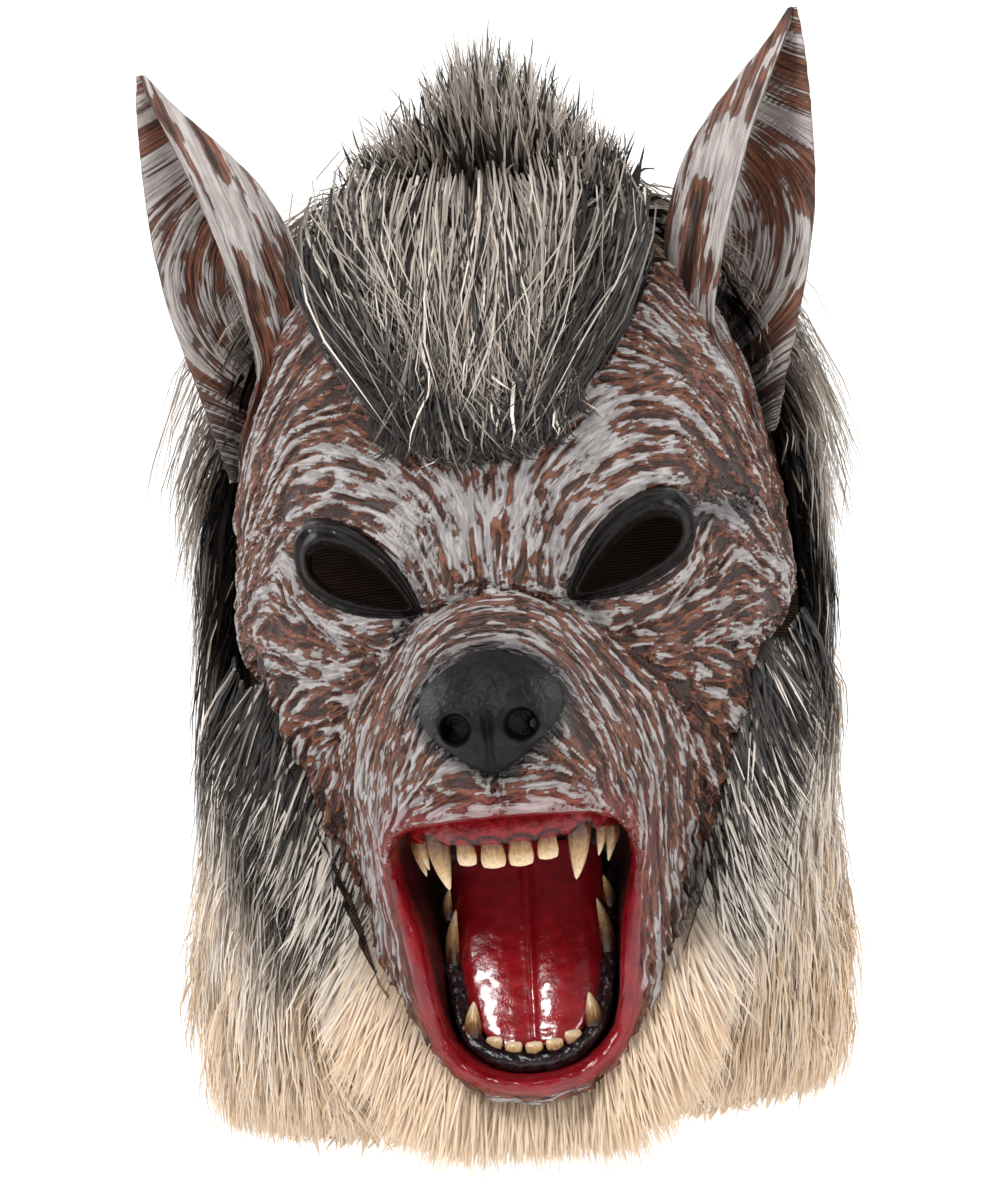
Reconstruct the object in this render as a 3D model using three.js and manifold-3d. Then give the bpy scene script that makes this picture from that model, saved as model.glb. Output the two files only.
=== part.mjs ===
// A werewolf mask: a latex wolf face with open jaws and two upright ears, on a fabric hood that carries long fur.
// The face looks along -Y, +Z is up and +X is the viewer's right. The origin is where the crown of a head meets the hood.
import * as THREE from "three";
import { mergeVertices } from "three/addons/utils/BufferGeometryUtils.js";
import Module from "manifold-3d";

const wasm = await Module();
wasm.setup();

// Driving sizes in millimetres, and angles in degrees.
const HEAD_WIDTH = 208; // across the cheekbones
const HEAD_DEPTH = 236; // forehead to the back of the hood
const FACE_HEIGHT = 338; // crown to the chin of the open jaw
const HEM_DROP = 14; // how far the fabric's hem hangs below the chin
const SNOUT_REACH = 70; // how far the nose stands ahead of the forehead
const WALL = 2.6; // latex skin and hood fabric
const CLEARANCE = 0.35; // between pieces that touch

const HALF_WIDTH = HEAD_WIDTH / 2;
const HALF_DEPTH = HEAD_DEPTH / 2;
const HOOD_HEIGHT = FACE_HEIGHT + HEM_DROP; // crown to the hem
const NOSE_REACH = HALF_DEPTH + SNOUT_REACH; // from the middle of the head to the nose

const EYE_LENGTH = 46;
const EYE_HEIGHT = 21;
const EYE_TILT = 30;
const EYE_OFFSET = 50.5; // from the middle of the face
const EYE_DROP = 0.426 * FACE_HEIGHT; // below the crown
const EYE_RIM = 3.4;
const EYE_RIM_DEPTH = 5;
const EYE_RIM_PROUD = 1.8;
const EYE_PINCH = 0.34; // how much flatter the eye is towards its inner corner
const EYE_FULLNESS = 0.82; // the outline's greatest rise, as a share of half its height, before the pinch

const NOSE_WIDTH = 52;
const NOSE_HEIGHT = 43;
const NOSE_BULGE = 10; // how far the pad stands off the muzzle
const NOSE_DROP = 0.506 * FACE_HEIGHT;
const NOSTRIL_DIAMETER = 11;
const NOSTRIL_SPACING = 23;
const NOSTRIL_DEPTH = 9;
const NOSTRIL_DOWN = 0.58; // share of the pad's height
const NOSTRIL_TURN = 20;
const NOSE_ROOT = 2.2; // how deep the pad goes into the muzzle, in bulges

const MOUTH_WIDTH = 84;
const MOUTH_HEIGHT = 0.29 * FACE_HEIGHT;
const MOUTH_DROP = 0.6805 * FACE_HEIGHT;
const LINING_WALL = 1.8;
const LIP_INSET = 0.8; // the lining's edge stays this far behind the lips
const MOUTH_ROUNDING = 8; // the mouth narrows over this depth at its floor
const LINING_BACK = 0.627 * HALF_DEPTH; // the lining's floor lies this far ahead of the middle of the head
const UPPER_GUM = 8;
const LOWER_GUM = 6.5;
const GUM_TALL = 1.05; // height of a gum over its thickness
const GUM_INSET = 1.35; // how far a gum stays inside the latex skin
const TOOTH_WIDTH = 8.2;
const INCISOR_LENGTH = 12;
const CANINE_LENGTH = 21;
const TONGUE_WIDTH = 57;
const TONGUE_THICKNESS = 11;

const EAR_HEIGHT = 163;
const EAR_WIDTH = 62;
const EAR_DROP = 0.3047 * FACE_HEIGHT; // the lowest point of an ear, below the crown
const EAR_OFFSET = 69; // its inner edge, from the middle of the head
const EAR_WALL = 3;

const FUR_PILE = 26;
const LOCK_WIDTH = 54;
const LOCK_LENGTH = 58;
const TUFT_HEIGHT = 46; // the upright hair on the crown
const FUR_LEAN = 5.5; // how far the hair hangs off the face's own upright
const FUR_SPACING = 2.2; // the fur's coarser facets keep this much more room over the hood

// Forms of the head. Across is a share of half the width, along of half the depth, snout of the reach of the nose,
// down of the face's height; wide, deep and tall are radii as shares of the same sizes, blend a share of half the
// width. Turns are in degrees: yaw swings a form's outer end back, roll raises it, pitch drops a form's front end.
const FORMS = [
  { name: "cranium", across: 0, along: 0.07, snout: 0, down: 0.295, wide: 0.93, deep: 1.0, tall: 0.303, blend: 0 },
  { name: "neck", across: 0, along: 0.03, snout: 0, down: 0.76, wide: 0.99, deep: 0.8, tall: 0.68, blend: 0.3 },
  { name: "shield", across: 0, along: -0.17, snout: 0, down: 0.47, wide: 1.03, deep: 0.84, tall: 0.44, blend: 0.35 },
  {
    name: "brow", across: 0.42, along: -0.8, snout: 0, down: 0.345,
    wide: 0.34, deep: 0.15, tall: 0.045, yaw: 32, roll: 26, blend: 0.18,
  },
  {
    name: "bridge", across: 0, along: -0.92, snout: 0.25, down: 0.535,
    wide: 0.27, deep: 0.44, tall: 0.075, pitch: 20, blend: 0.38,
  },
  {
    name: "muzzle", across: 0, along: -0.82, snout: 0.25, down: 0.635,
    wide: 0.47, deep: 0.52, tall: 0.11, pitch: 8, blend: 0.44,
  },
  {
    name: "nose root", across: 0, along: -0.93, snout: 0.68, down: 0.585,
    wide: 0.25, deep: 0.17, tall: 0.07, blend: 0.23,
  },
  { name: "lip", across: 0, along: -0.92, snout: 0.34, down: 0.69, wide: 0.44, deep: 0.38, tall: 0.06, blend: 0.23 },
  { name: "jowl", across: 0.36, along: -0.66, snout: 0, down: 0.77, wide: 0.2, deep: 0.44, tall: 0.17, blend: 0.33 },
  { name: "jaw", across: 0, along: -0.8, snout: 0, down: 0.855, wide: 0.49, deep: 0.45, tall: 0.16, blend: 0.25 },
  { name: "chin", across: 0, along: -0.93, snout: 0, down: 0.948, wide: 0.34, deep: 0.26, tall: 0.052, blend: 0.17 },
];
const SOCKET = {
  name: "eye socket", across: 0.49, along: -0.98, snout: 0, down: 0.424,
  wide: 0.25, deep: 0.1, tall: 0.034, yaw: 25, roll: 30, blend: 0.12,
};

const rad = THREE.MathUtils.degToRad;

// Signed distance, near enough, from a point to a form; the head is alike on both sides, so x counts as its size.
function formDistance(form, x, y, z) {
  let dx = Math.abs(x) - form.across * HALF_WIDTH;
  let dy = y - form.along * HALF_DEPTH + form.snout * SNOUT_REACH;
  let dz = z + form.down * FACE_HEIGHT;
  if (form.yaw) {
    const c = Math.cos(rad(form.yaw));
    const s = Math.sin(rad(form.yaw));
    [dx, dy] = [dx * c + dy * s, dy * c - dx * s];
  }
  if (form.roll) {
    const c = Math.cos(rad(form.roll));
    const s = Math.sin(rad(form.roll));
    [dx, dz] = [dx * c + dz * s, dz * c - dx * s];
  }
  if (form.pitch) {
    const c = Math.cos(rad(form.pitch));
    const s = Math.sin(rad(form.pitch));
    [dy, dz] = [dy * c + dz * s, dz * c - dy * s];
  }
  const a = form.wide * HALF_WIDTH;
  const b = form.deep * HALF_DEPTH;
  const c = form.tall * FACE_HEIGHT;
  const near = Math.hypot(dx / a, dy / b, dz / c);
  const slope = Math.hypot(dx / (a * a), dy / (b * b), dz / (c * c));
  return slope > 0 ? (near * (near - 1)) / slope : -Math.min(a, b, c);
}

function blendedMin(a, b, radius) {
  const h = Math.max(radius - Math.abs(a - b), 0) / radius;
  return Math.min(a, b) - (h * h * h * radius) / 6;
}

function headField(x, y, z) {
  let d = Infinity;
  for (const form of FORMS) {
    const f = formDistance(form, x, y, z);
    d = d === Infinity ? f : blendedMin(d, f, form.blend * HALF_WIDTH);
  }
  return -blendedMin(-d, formDistance(SOCKET, x, y, z), SOCKET.blend * HALF_WIDTH);
}

// The head is read along rays from its inside axis: a fan from the middle of the cranium over the dome, then level
// rays below it. Turn 0 looks out of the face, +90 to +X.
const AXIS_Y = 0.07 * HALF_DEPTH;
const DOME_DROP = 0.295 * FACE_HEIGHT;
const FAR = 2.4 * HALF_DEPTH;

function ray(turn, drop) {
  const across = Math.sin(rad(turn));
  const ahead = -Math.cos(rad(turn));
  if (drop >= DOME_DROP) {
    return { from: new THREE.Vector3(0, AXIS_Y, -drop), way: new THREE.Vector3(across, ahead, 0) };
  }
  const rise = (1 - drop / DOME_DROP) * 90;
  const level = Math.cos(rad(rise));
  const way = new THREE.Vector3(across * level, ahead * level, Math.sin(rad(rise)));
  return { from: new THREE.Vector3(0, AXIS_Y, -DOME_DROP), way };
}

// The outermost point of a ray that lies the given height above the head's surface.
function onHead(turn, drop, height) {
  const { from, way } = ray(turn, drop);
  let far = FAR;
  for (let step = 0; step < 90; step++) {
    const d = headField(from.x + way.x * far, from.y + way.y * far, from.z + way.z * far) - height;
    if (Math.abs(d) < 0.004) break;
    far -= d * 0.8;
  }
  return from.clone().addScaledVector(way, far);
}

// The surface of the head in the middle view, at a place across and down the face.
function frontOf(x, z, height) {
  let y = -2 * HALF_DEPTH;
  for (let step = 0; step < 80; step++) {
    const d = headField(x, y, z) - height;
    if (Math.abs(d) < 0.004) break;
    y += d * 0.8;
  }
  return y;
}

function stops(...runs) {
  const list = [runs[0].from];
  for (const { from, to, parts } of runs) {
    for (let i = 1; i <= parts; i++) list.push(from + ((to - from) * i) / parts);
  }
  return list;
}

const HALF_TURNS = stops(
  { from: 0, to: 25, parts: 5 },
  { from: 25, to: 60, parts: 4 },
  { from: 60, to: 180, parts: 5 },
);
const DROPS = stops(
  { from: 0, to: DOME_DROP, parts: 6 },
  { from: DOME_DROP, to: 0.44 * FACE_HEIGHT, parts: 4 },
  { from: 0.44 * FACE_HEIGHT, to: 0.72 * FACE_HEIGHT, parts: 7 },
  { from: 0.72 * FACE_HEIGHT, to: FACE_HEIGHT, parts: 6 },
  { from: FACE_HEIGHT, to: HOOD_HEIGHT, parts: 1 },
).slice(1);

// The fur needs fewer facets, so it keeps a wider gap to the hood under it.
const FUR_HALF_TURNS = stops({ from: 0, to: 60, parts: 4 }, { from: 60, to: 180, parts: 5 });
const FUR_DROPS = stops({ from: 0, to: DOME_DROP, parts: 5 }, { from: DOME_DROP, to: HOOD_HEIGHT, parts: 8 }).slice(1);
const FUR_GAP = CLEARANCE + FUR_SPACING;

function wholeTurn(halfTurns) {
  return [...halfTurns, ...halfTurns.slice(1, -1).reverse().map((turn) => -turn)];
}

const HEAD_GRID = { turns: wholeTurn(HALF_TURNS), drops: DROPS };
const FUR_GRID = { turns: wholeTurn(FUR_HALF_TURNS), drops: FUR_DROPS };

// Solids are built from rings of points and quads between them.
function solidFrom(points, faces) {
  const flat = [];
  for (const face of faces) {
    for (let i = 2; i < face.length; i++) flat.push(points[face[0]], points[face[i - 1]], points[face[i]]);
  }
  const geometry = new THREE.BufferGeometry().setFromPoints(flat);
  return solidOf(geometry);
}

function solidOf(geometry) {
  const bare = geometry.clone();
  bare.deleteAttribute("normal");
  bare.deleteAttribute("uv");
  const merged = mergeVertices(bare, 1e-4);
  const mesh = new wasm.Mesh({
    numProp: 3,
    vertProperties: new Float32Array(merged.attributes.position.array),
    triVerts: new Uint32Array(merged.index.array),
  });
  return new wasm.Manifold(mesh);
}

// A loft through rings that all have as many points, closed by its two end faces.
function loft(rings) {
  const count = rings[0].length;
  const points = rings.flat();
  const faces = [];
  for (let r = 0; r + 1 < rings.length; r++) {
    for (let i = 0; i < count; i++) {
      const j = (i + 1) % count;
      faces.push([r * count + i, r * count + j, (r + 1) * count + j]);
      faces.push([r * count + i, (r + 1) * count + j, (r + 1) * count + i]);
    }
  }
  faces.push([...Array(count).keys()].reverse());
  faces.push([...Array(count).keys()].map((i) => (rings.length - 1) * count + i));
  return outward(solidFrom(points, faces));
}

// A loft whose last ring joins its first, for a rim.
function hoop(rings) {
  const count = rings[0].length;
  const points = rings.flat();
  const faces = [];
  for (let r = 0; r < rings.length; r++) {
    const next = (r + 1) % rings.length;
    for (let i = 0; i < count; i++) {
      const j = (i + 1) % count;
      faces.push([r * count + i, r * count + j, next * count + j]);
      faces.push([r * count + i, next * count + j, next * count + i]);
    }
  }
  return outward(solidFrom(points, faces));
}

function outward(solid) {
  if (solid.volume() > 0) return solid;
  const mesh = solid.getMesh();
  const triVerts = new Uint32Array(mesh.triVerts);
  for (let i = 0; i < triVerts.length; i += 3) {
    [triVerts[i + 1], triVerts[i + 2]] = [triVerts[i + 2], triVerts[i + 1]];
  }
  return new wasm.Manifold(new wasm.Mesh({ numProp: 3, vertProperties: mesh.vertProperties, triVerts }));
}

// The head's form, closed at the hem, with its surface the given height above the sculpted one, or a height that
// a function of the turn, the drop and the point's two counts gives.
function headSolid(height, hem = 0, grid = HEAD_GRID) {
  const heightAt = typeof height === "function" ? height : () => height;
  const points = [onHead(0, 0, heightAt(0, 0, 0, 0))];
  const drops = hem ? [...grid.drops, HOOD_HEIGHT + hem] : grid.drops;
  drops.forEach((drop, row) => {
    grid.turns.forEach((turn, i) => points.push(onHead(turn, drop, heightAt(turn, drop, row, i))));
  });
  const around = grid.turns.length;
  const last = drops.length - 1;
  const at = (row, i) => 1 + row * around + (i % around);
  const floor = points.length;
  points.push(new THREE.Vector3(0, AXIS_Y, -drops[last]));
  const faces = [];
  for (let i = 0; i < around; i++) {
    faces.push([0, at(0, i), at(0, i + 1)]);
    for (let row = 0; row < last; row++) {
      faces.push([at(row, i), at(row + 1, i), at(row + 1, i + 1)]);
      faces.push([at(row, i), at(row + 1, i + 1), at(row, i + 1)]);
    }
    faces.push([floor, at(last, i + 1), at(last, i)]);
  }
  return outward(solidFrom(points, faces));
}

// A flat outline in the front view, pushed from one depth to another.
function frontCutter(outline, fromY, toY) {
  const shape = new THREE.Shape(outline.map(([x, z]) => new THREE.Vector2(x, z)));
  const geometry = new THREE.ExtrudeGeometry(shape, { depth: toY - fromY, bevelEnabled: false, steps: 1 });
  geometry.rotateX(Math.PI / 2);
  geometry.translate(0, toY, 0);
  return outward(solidOf(geometry));
}

// A mirrored outline in the front view from rows of its right half, top to bottom, as shares of the two sizes.
function mirrored(rows, halfWidth, height, top) {
  const right = rows.map(({ across, down }) => [across * halfWidth, -top - down * height]);
  const left = right.filter(([x]) => x > 0).map(([x, z]) => [-x, z]);
  return [...right, ...left.reverse()];
}

// An outline moved outwards by the given distance, or inwards by a negative one.
function grown(outline, distance) {
  const area = THREE.ShapeUtils.area(outline.map(([x, z]) => new THREE.Vector2(x, z)));
  const side = Math.sign(area);
  return outline.map(([x, z], i) => {
    const [ax, az] = outline[(i + outline.length - 1) % outline.length];
    const [bx, bz] = outline[(i + 1) % outline.length];
    const first = new THREE.Vector2(z - az, ax - x).normalize();
    const second = new THREE.Vector2(bz - z, x - bx).normalize();
    const out = first.clone().add(second).normalize();
    const reach = (side * distance) / Math.max(0.5, out.dot(first));
    return [x + out.x * reach, z + out.y * reach];
  });
}

// The latex face ends at this edge and the furred hood begins: the hairline, under the ears, and down the cheeks.
const FACE_EDGE = [
  { across: 0, down: 0.302 },
  { across: 0.14, down: 0.296 },
  { across: 0.29, down: 0.27 },
  { across: 0.44, down: 0.213 },
  { across: 0.56, down: 0.155 },
  { across: 0.64, down: 0.1 },
  { across: 1.15, down: 0.1 },
  { across: 1.15, down: 0.46 },
  { across: 0.95, down: 0.535 },
  { across: 0.87, down: 0.6 },
  { across: 0.73, down: 0.716 },
  { across: 0.55, down: 0.852 },
  { across: 0.4, down: 0.94 },
  { across: 0.25, down: 1.0 },
  { across: 0.12, down: 1.018 },
  { across: 0, down: 1.022 },
];
const FACE_BACK = 0.13 * HALF_DEPTH; // the face wraps back to this far ahead of the middle of the head

// The snout is moulded apart and set into the face along its creases, down to the corners of the mouth.
const MUZZLE_EDGE = [
  { across: 0, down: 0.462 },
  { across: 0.26, down: 0.478 },
  { across: 0.5, down: 0.535 },
  { across: 0.62, down: 0.62 },
  { across: 0.63, down: 0.7 },
  { across: 0, down: 0.7 },
];
const muzzleEdge = mirrored(MUZZLE_EDGE, HALF_WIDTH, FACE_HEIGHT, 0);

const faceEdge = mirrored(FACE_EDGE, HALF_WIDTH, FACE_HEIGHT, 0);
const faceRegion = frontCutter(grown(faceEdge, -CLEARANCE / 2), -FAR, -FACE_BACK);
const hoodCut = frontCutter(grown(faceEdge, CLEARANCE / 2), -FAR, -FACE_BACK + CLEARANCE);

// An eye's outline: round outside, drawn to a point at the inner corner.
const EYE_POINTS = 14;
function eyeOutline(side, inset) {
  const points = [];
  for (let i = 0; i < EYE_POINTS; i++) {
    const turn = (2 * Math.PI * i) / EYE_POINTS;
    const along = (EYE_LENGTH / 2 - inset) * Math.cos(turn);
    const pinch = 1 - EYE_PINCH + EYE_PINCH * Math.cos(turn);
    const up = (EYE_HEIGHT / 2 - inset) * (Math.sin(turn) / EYE_FULLNESS) * pinch;
    const c = Math.cos(rad(EYE_TILT));
    const s = Math.sin(rad(EYE_TILT));
    points.push([side * (EYE_OFFSET + along * c - up * s), -EYE_DROP + along * s + up * c]);
  }
  return points;
}

const MOUTH_EDGE = [
  { across: 0, down: 0 },
  { across: 0.5, down: 0.01 },
  { across: 0.93, down: 0.055 },
  { across: 1.0, down: 0.2 },
  { across: 0.88, down: 0.43 },
  { across: 0.81, down: 0.64 },
  { across: 0.73, down: 0.835 },
  { across: 0.43, down: 0.965 },
  { across: 0, down: 1 },
];
const mouthEdge = mirrored(MOUTH_EDGE, MOUTH_WIDTH / 2, MOUTH_HEIGHT, MOUTH_DROP);

const headOuter = headSolid(0);
const headShell = headOuter.subtract(headSolid(-WALL, HEM_DROP));

function openFace() {
  let face = headShell.intersect(faceRegion);
  for (const side of [-1, 1]) face = face.subtract(frontCutter(eyeOutline(side, 0), -FAR, -FACE_BACK));
  return face.subtract(frontCutter(mouthEdge, -FAR, -FACE_BACK));
}

function faceShell() {
  return openFace().subtract(frontCutter(grown(muzzleEdge, CLEARANCE / 2), -FAR, -FACE_BACK));
}

function muzzleShell() {
  return openFace().intersect(frontCutter(grown(muzzleEdge, -CLEARANCE / 2), -FAR, -FACE_BACK));
}

// The hood is sewn from a crown cap and two walls, which meet where the dome ends, at the back and under the chin.
function hoodPanel(fromDrop, toDrop) {
  return headShell.subtract(hoodCut).intersect(slab(fromDrop, toDrop));
}

function crownBacking() {
  return hoodPanel(-2 * WALL, DOME_DROP - CLEARANCE / 2);
}

function hoodBacking(side) {
  const seam = (side * CLEARANCE) / 2;
  const half = [[seam, FAR], [side * FAR, FAR], [side * FAR, -2 * FAR], [seam, -2 * FAR]];
  return hoodPanel(DOME_DROP + CLEARANCE / 2, HOOD_HEIGHT + WALL).intersect(frontCutter(half, -FAR, FAR));
}

function eyeRim(side) {
  const middle = eyeOutline(side, CLEARANCE + EYE_RIM / 2);
  const outside = eyeOutline(side, CLEARANCE);
  const inside = eyeOutline(side, CLEARANCE + EYE_RIM);
  const rings = middle.map(([mx, mz], i) => {
    const front = frontOf(mx, mz, 0) - EYE_RIM_PROUD;
    const [ox, oz] = outside[i];
    const [ix, iz] = inside[i];
    return [
      new THREE.Vector3(ox, front + EYE_RIM_PROUD, oz),
      new THREE.Vector3(mx, front, mz),
      new THREE.Vector3(ix, front + EYE_RIM_PROUD, iz),
      new THREE.Vector3(ix, front + EYE_RIM_DEPTH, iz),
      new THREE.Vector3(ox, front + EYE_RIM_DEPTH, oz),
    ];
  });
  return hoop(rings);
}

// The nose pad from slices of its height: half widths and how far each slice stands ahead of the muzzle.
const NOSE_SLICES = [
  { down: 0, half: 0.34, ahead: 0.35 },
  { down: 0.12, half: 0.72, ahead: 0.8 },
  { down: 0.3, half: 0.97, ahead: 0.98 },
  { down: 0.48, half: 1.0, ahead: 1.0 },
  { down: 0.66, half: 0.85, ahead: 0.9 },
  { down: 0.83, half: 0.5, ahead: 0.8 },
  { down: 1, half: 0.14, ahead: 0.5 },
];

const NOSE_STEPS = 8;
const NOSE_SQUARENESS = 0.7;

function nosePad() {
  const muzzleFront = frontOf(0, -NOSE_DROP - NOSE_HEIGHT / 2, 0);
  const back = muzzleFront + NOSE_BULGE * NOSE_ROOT;
  const rings = NOSE_SLICES.map(({ down, half, ahead }) => {
    const z = -NOSE_DROP - down * NOSE_HEIGHT;
    const front = muzzleFront - ahead * NOSE_BULGE;
    const ring = [];
    for (let i = 0; i <= NOSE_STEPS; i++) {
      const turn = (Math.PI * i) / NOSE_STEPS;
      const bow = Math.sin(turn) ** NOSE_SQUARENESS;
      ring.push(new THREE.Vector3((-half * NOSE_WIDTH * Math.cos(turn)) / 2, back + (front - back) * bow, z));
    }
    return ring;
  });
  let pad = loft(rings).subtract(headSolid(CLEARANCE));
  for (const side of [-1, 1]) pad = pad.subtract(nostril(side, muzzleFront));
  return largest(pad);
}

function nostril(side, muzzleFront) {
  const radius = NOSTRIL_DIAMETER / 2;
  const hole = new THREE.CylinderGeometry(radius, radius, NOSTRIL_DEPTH * 2, 14);
  hole.rotateX(Math.PI / 2);
  hole.rotateZ(side * rad(NOSTRIL_TURN));
  const z = -NOSE_DROP - NOSE_HEIGHT * NOSTRIL_DOWN;
  hole.translate((side * NOSTRIL_SPACING) / 2, muzzleFront - NOSE_BULGE, z);
  return outward(solidOf(hole));
}

function largest(solid) {
  return solid.decompose().reduce((a, b) => (a.volume() > b.volume() ? a : b));
}

// A flat ring of the mouth's outline at a depth, drawn in by an inset and shrunk towards the throat.
function mouthRing(inset, y, shrink) {
  const middle = -MOUTH_DROP - MOUTH_HEIGHT / 2;
  return grown(mouthEdge, -inset).map(([x, z]) => new THREE.Vector3(x * shrink, y, middle + (z - middle) * shrink));
}

// The mouth keeps its width to this share of the nose's reach, and then draws in towards its floor.
const MOUTH_STRAIGHT = 0.61;
const MOUTH_NECK = 0.93;
const MOUTH_FLOOR = 0.82;

function mouthPocket(inset, floor) {
  return loft([
    mouthRing(inset, -FAR, 1),
    mouthRing(inset, -MOUTH_STRAIGHT * NOSE_REACH, 1),
    mouthRing(inset, floor - MOUTH_ROUNDING, MOUTH_NECK),
    mouthRing(inset, floor, MOUTH_FLOOR),
  ]);
}

function mouthLining() {
  const cup = mouthPocket(CLEARANCE, -LINING_BACK).intersect(headSolid(-LIP_INSET));
  return largest(cup.subtract(mouthPocket(CLEARANCE + LINING_WALL, -LINING_BACK - LINING_WALL)));
}

// What lies in the mouth stays inside this hollow, clear of the lining.
const mouthHollow = mouthPocket(2 * CLEARANCE + LINING_WALL, -LINING_BACK - LINING_WALL - CLEARANCE);

// Both rows of teeth stand on arches, given by their right halves from the middle tooth to the back one. Across is a
// share of half the mouth's width, ahead of the nose's reach, and down of the mouth's height.
const UPPER_ARCH = [
  { across: 0, ahead: 0.872, down: 0.071 },
  { across: 0.381, ahead: 0.851, down: 0.066 },
  { across: 0.667, ahead: 0.793, down: 0.056 },
  { across: 0.845, ahead: 0.691, down: 0.071 },
  { across: 0.869, ahead: 0.532, down: 0.102 },
];
const LOWER_ARCH = [
  { across: 0, ahead: 0.686, down: 0.949 },
  { across: 0.31, ahead: 0.676, down: 0.929 },
  { across: 0.56, ahead: 0.644, down: 0.837 },
  { across: 0.69, ahead: 0.564, down: 0.592 },
  { across: 0.75, ahead: 0.468, down: 0.327 },
];

// A place in the mouth from its three shares.
function inMouth({ across = 0, ahead, down }) {
  return new THREE.Vector3((across * MOUTH_WIDTH) / 2, -ahead * NOSE_REACH, -MOUTH_DROP - down * MOUTH_HEIGHT);
}

function archCurve(rows) {
  const right = rows.map(inMouth);
  const left = right.slice(1).map((p) => new THREE.Vector3(-p.x, p.y, p.z));
  return new THREE.CatmullRomCurve3([...left.reverse(), ...right], false, "centripetal");
}

const UPPER_JAW = { label: "upper", arch: archCurve(UPPER_ARCH), gum: UPPER_GUM, way: -1 };
const LOWER_JAW = { label: "lower", arch: archCurve(LOWER_ARCH), gum: LOWER_GUM, way: 1 };

function ellipseRing(centre, sideways, up, halfWide, halfTall, count) {
  const ring = [];
  for (let i = 0; i < count; i++) {
    const turn = (2 * Math.PI * i) / count;
    ring.push(
      centre
        .clone()
        .addScaledVector(sideways, halfWide * Math.cos(turn))
        .addScaledVector(up, halfTall * Math.sin(turn)),
    );
  }
  return ring;
}

const GUM_STEPS = 12;
const GUM_SIDES = 6;
function gumTube(jaw, room = 0) {
  const rings = [];
  for (let i = 0; i <= GUM_STEPS; i++) {
    const centre = jaw.arch.getPointAt(i / GUM_STEPS);
    const along = jaw.arch.getTangentAt(i / GUM_STEPS);
    const up = new THREE.Vector3(0, 0, 1).addScaledVector(along, -along.z).normalize();
    const sideways = new THREE.Vector3().crossVectors(along, up).normalize();
    const halfWide = jaw.gum / 2 + room;
    const halfTall = (jaw.gum * GUM_TALL) / 2 + room;
    rings.push(ellipseRing(centre, sideways, up, halfWide, halfTall, GUM_SIDES));
  }
  return loft(rings);
}

function gum(jaw) {
  return largest(gumTube(jaw).intersect(mouthHollow).intersect(headSolid(-GUM_INSET)));
}

// Teeth by kind: widths and depths at shares of their length, and how far the tip curls inwards.
const TOOTH_KINDS = {
  incisor: { length: INCISOR_LENGTH, curl: 0.05, rings: [
    { along: -0.25, wide: 0.8, deep: 0.62 },
    { along: 0.3, wide: 0.95, deep: 0.62 },
    { along: 0.85, wide: 1.05, deep: 0.42 },
    { along: 1, wide: 0.92, deep: 0.22 },
  ] },
  fang: { length: CANINE_LENGTH, curl: 0.16, rings: [
    { along: -0.15, wide: 1.0, deep: 0.9 },
    { along: 0.3, wide: 0.95, deep: 0.85 },
    { along: 0.7, wide: 0.62, deep: 0.55 },
    { along: 1, wide: 0.1, deep: 0.1 },
  ] },
};

// One row per tooth on the right side: its place along the half arch, and its size as shares of its kind's. A tooth in
// the middle of the arch stands alone.
const UPPER_TEETH = [
  { name: "incisor_inner", place: 0.06, kind: "incisor", wide: 1.0, long: 1.0 },
  { name: "incisor_outer", place: 0.18, kind: "incisor", wide: 0.88, long: 0.92 },
  { name: "canine", place: 0.345, kind: "fang", wide: 1.1, long: 1.0 },
  { name: "side_front", place: 0.53, kind: "fang", wide: 0.62, long: 0.66 },
  { name: "side_middle", place: 0.68, kind: "fang", wide: 0.7, long: 0.77 },
  { name: "side_back", place: 0.83, kind: "fang", wide: 0.6, long: 0.57 },
];
const LOWER_TEETH = [
  { name: "incisor_middle", place: 0, kind: "incisor", wide: 0.55, long: 0.62 },
  { name: "incisor_inner", place: 0.085, kind: "incisor", wide: 0.55, long: 0.62 },
  { name: "incisor_outer", place: 0.17, kind: "incisor", wide: 0.55, long: 0.62 },
  { name: "canine", place: 0.3, kind: "fang", wide: 0.85, long: 0.57 },
  { name: "side_front", place: 0.66, kind: "fang", wide: 0.75, long: 0.86 },
  { name: "side_back", place: 0.86, kind: "fang", wide: 0.6, long: 0.51 },
];

const TOOTH_SIDES = 6;
function tooth(jaw, side, { place, kind, wide, long }) {
  const { length: fullLength, curl, rings } = TOOTH_KINDS[kind];
  const share = 0.5 + (side * place) / 2;
  const foot = jaw.arch.getPointAt(share);
  const along = jaw.arch.getTangentAt(share);
  const axis = new THREE.Vector3(0, 0, jaw.way);
  const inward = new THREE.Vector3().crossVectors(axis, along).normalize();
  if (inward.y < 0) inward.negate();
  const sideways = new THREE.Vector3().crossVectors(inward, axis).normalize();
  const length = long * fullLength;
  const width = wide * TOOTH_WIDTH;
  return loft(
    rings.map((ring) => {
      const centre = foot
        .clone()
        .addScaledVector(axis, ring.along * length)
        .addScaledVector(inward, curl * length * ring.along * ring.along);
      return ellipseRing(centre, sideways, inward, (width * ring.wide) / 2, (width * ring.deep) / 2, TOOTH_SIDES);
    }),
  );
}

function teethOf(jaw, rows) {
  const socket = gumTube(jaw, CLEARANCE);
  const made = [];
  for (const row of rows) {
    const hands = row.place ? { left: -1, right: 1 } : { "": 1 };
    for (const [hand, side] of Object.entries(hands)) {
      const solid = tooth(jaw, side, row).subtract(socket).intersect(mouthHollow);
      const name = [jaw.label, row.name, hand].filter(Boolean).join("_");
      made.push({ name, solid: crownOf(solid, jaw.way) });
    }
  }
  return made;
}

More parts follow.
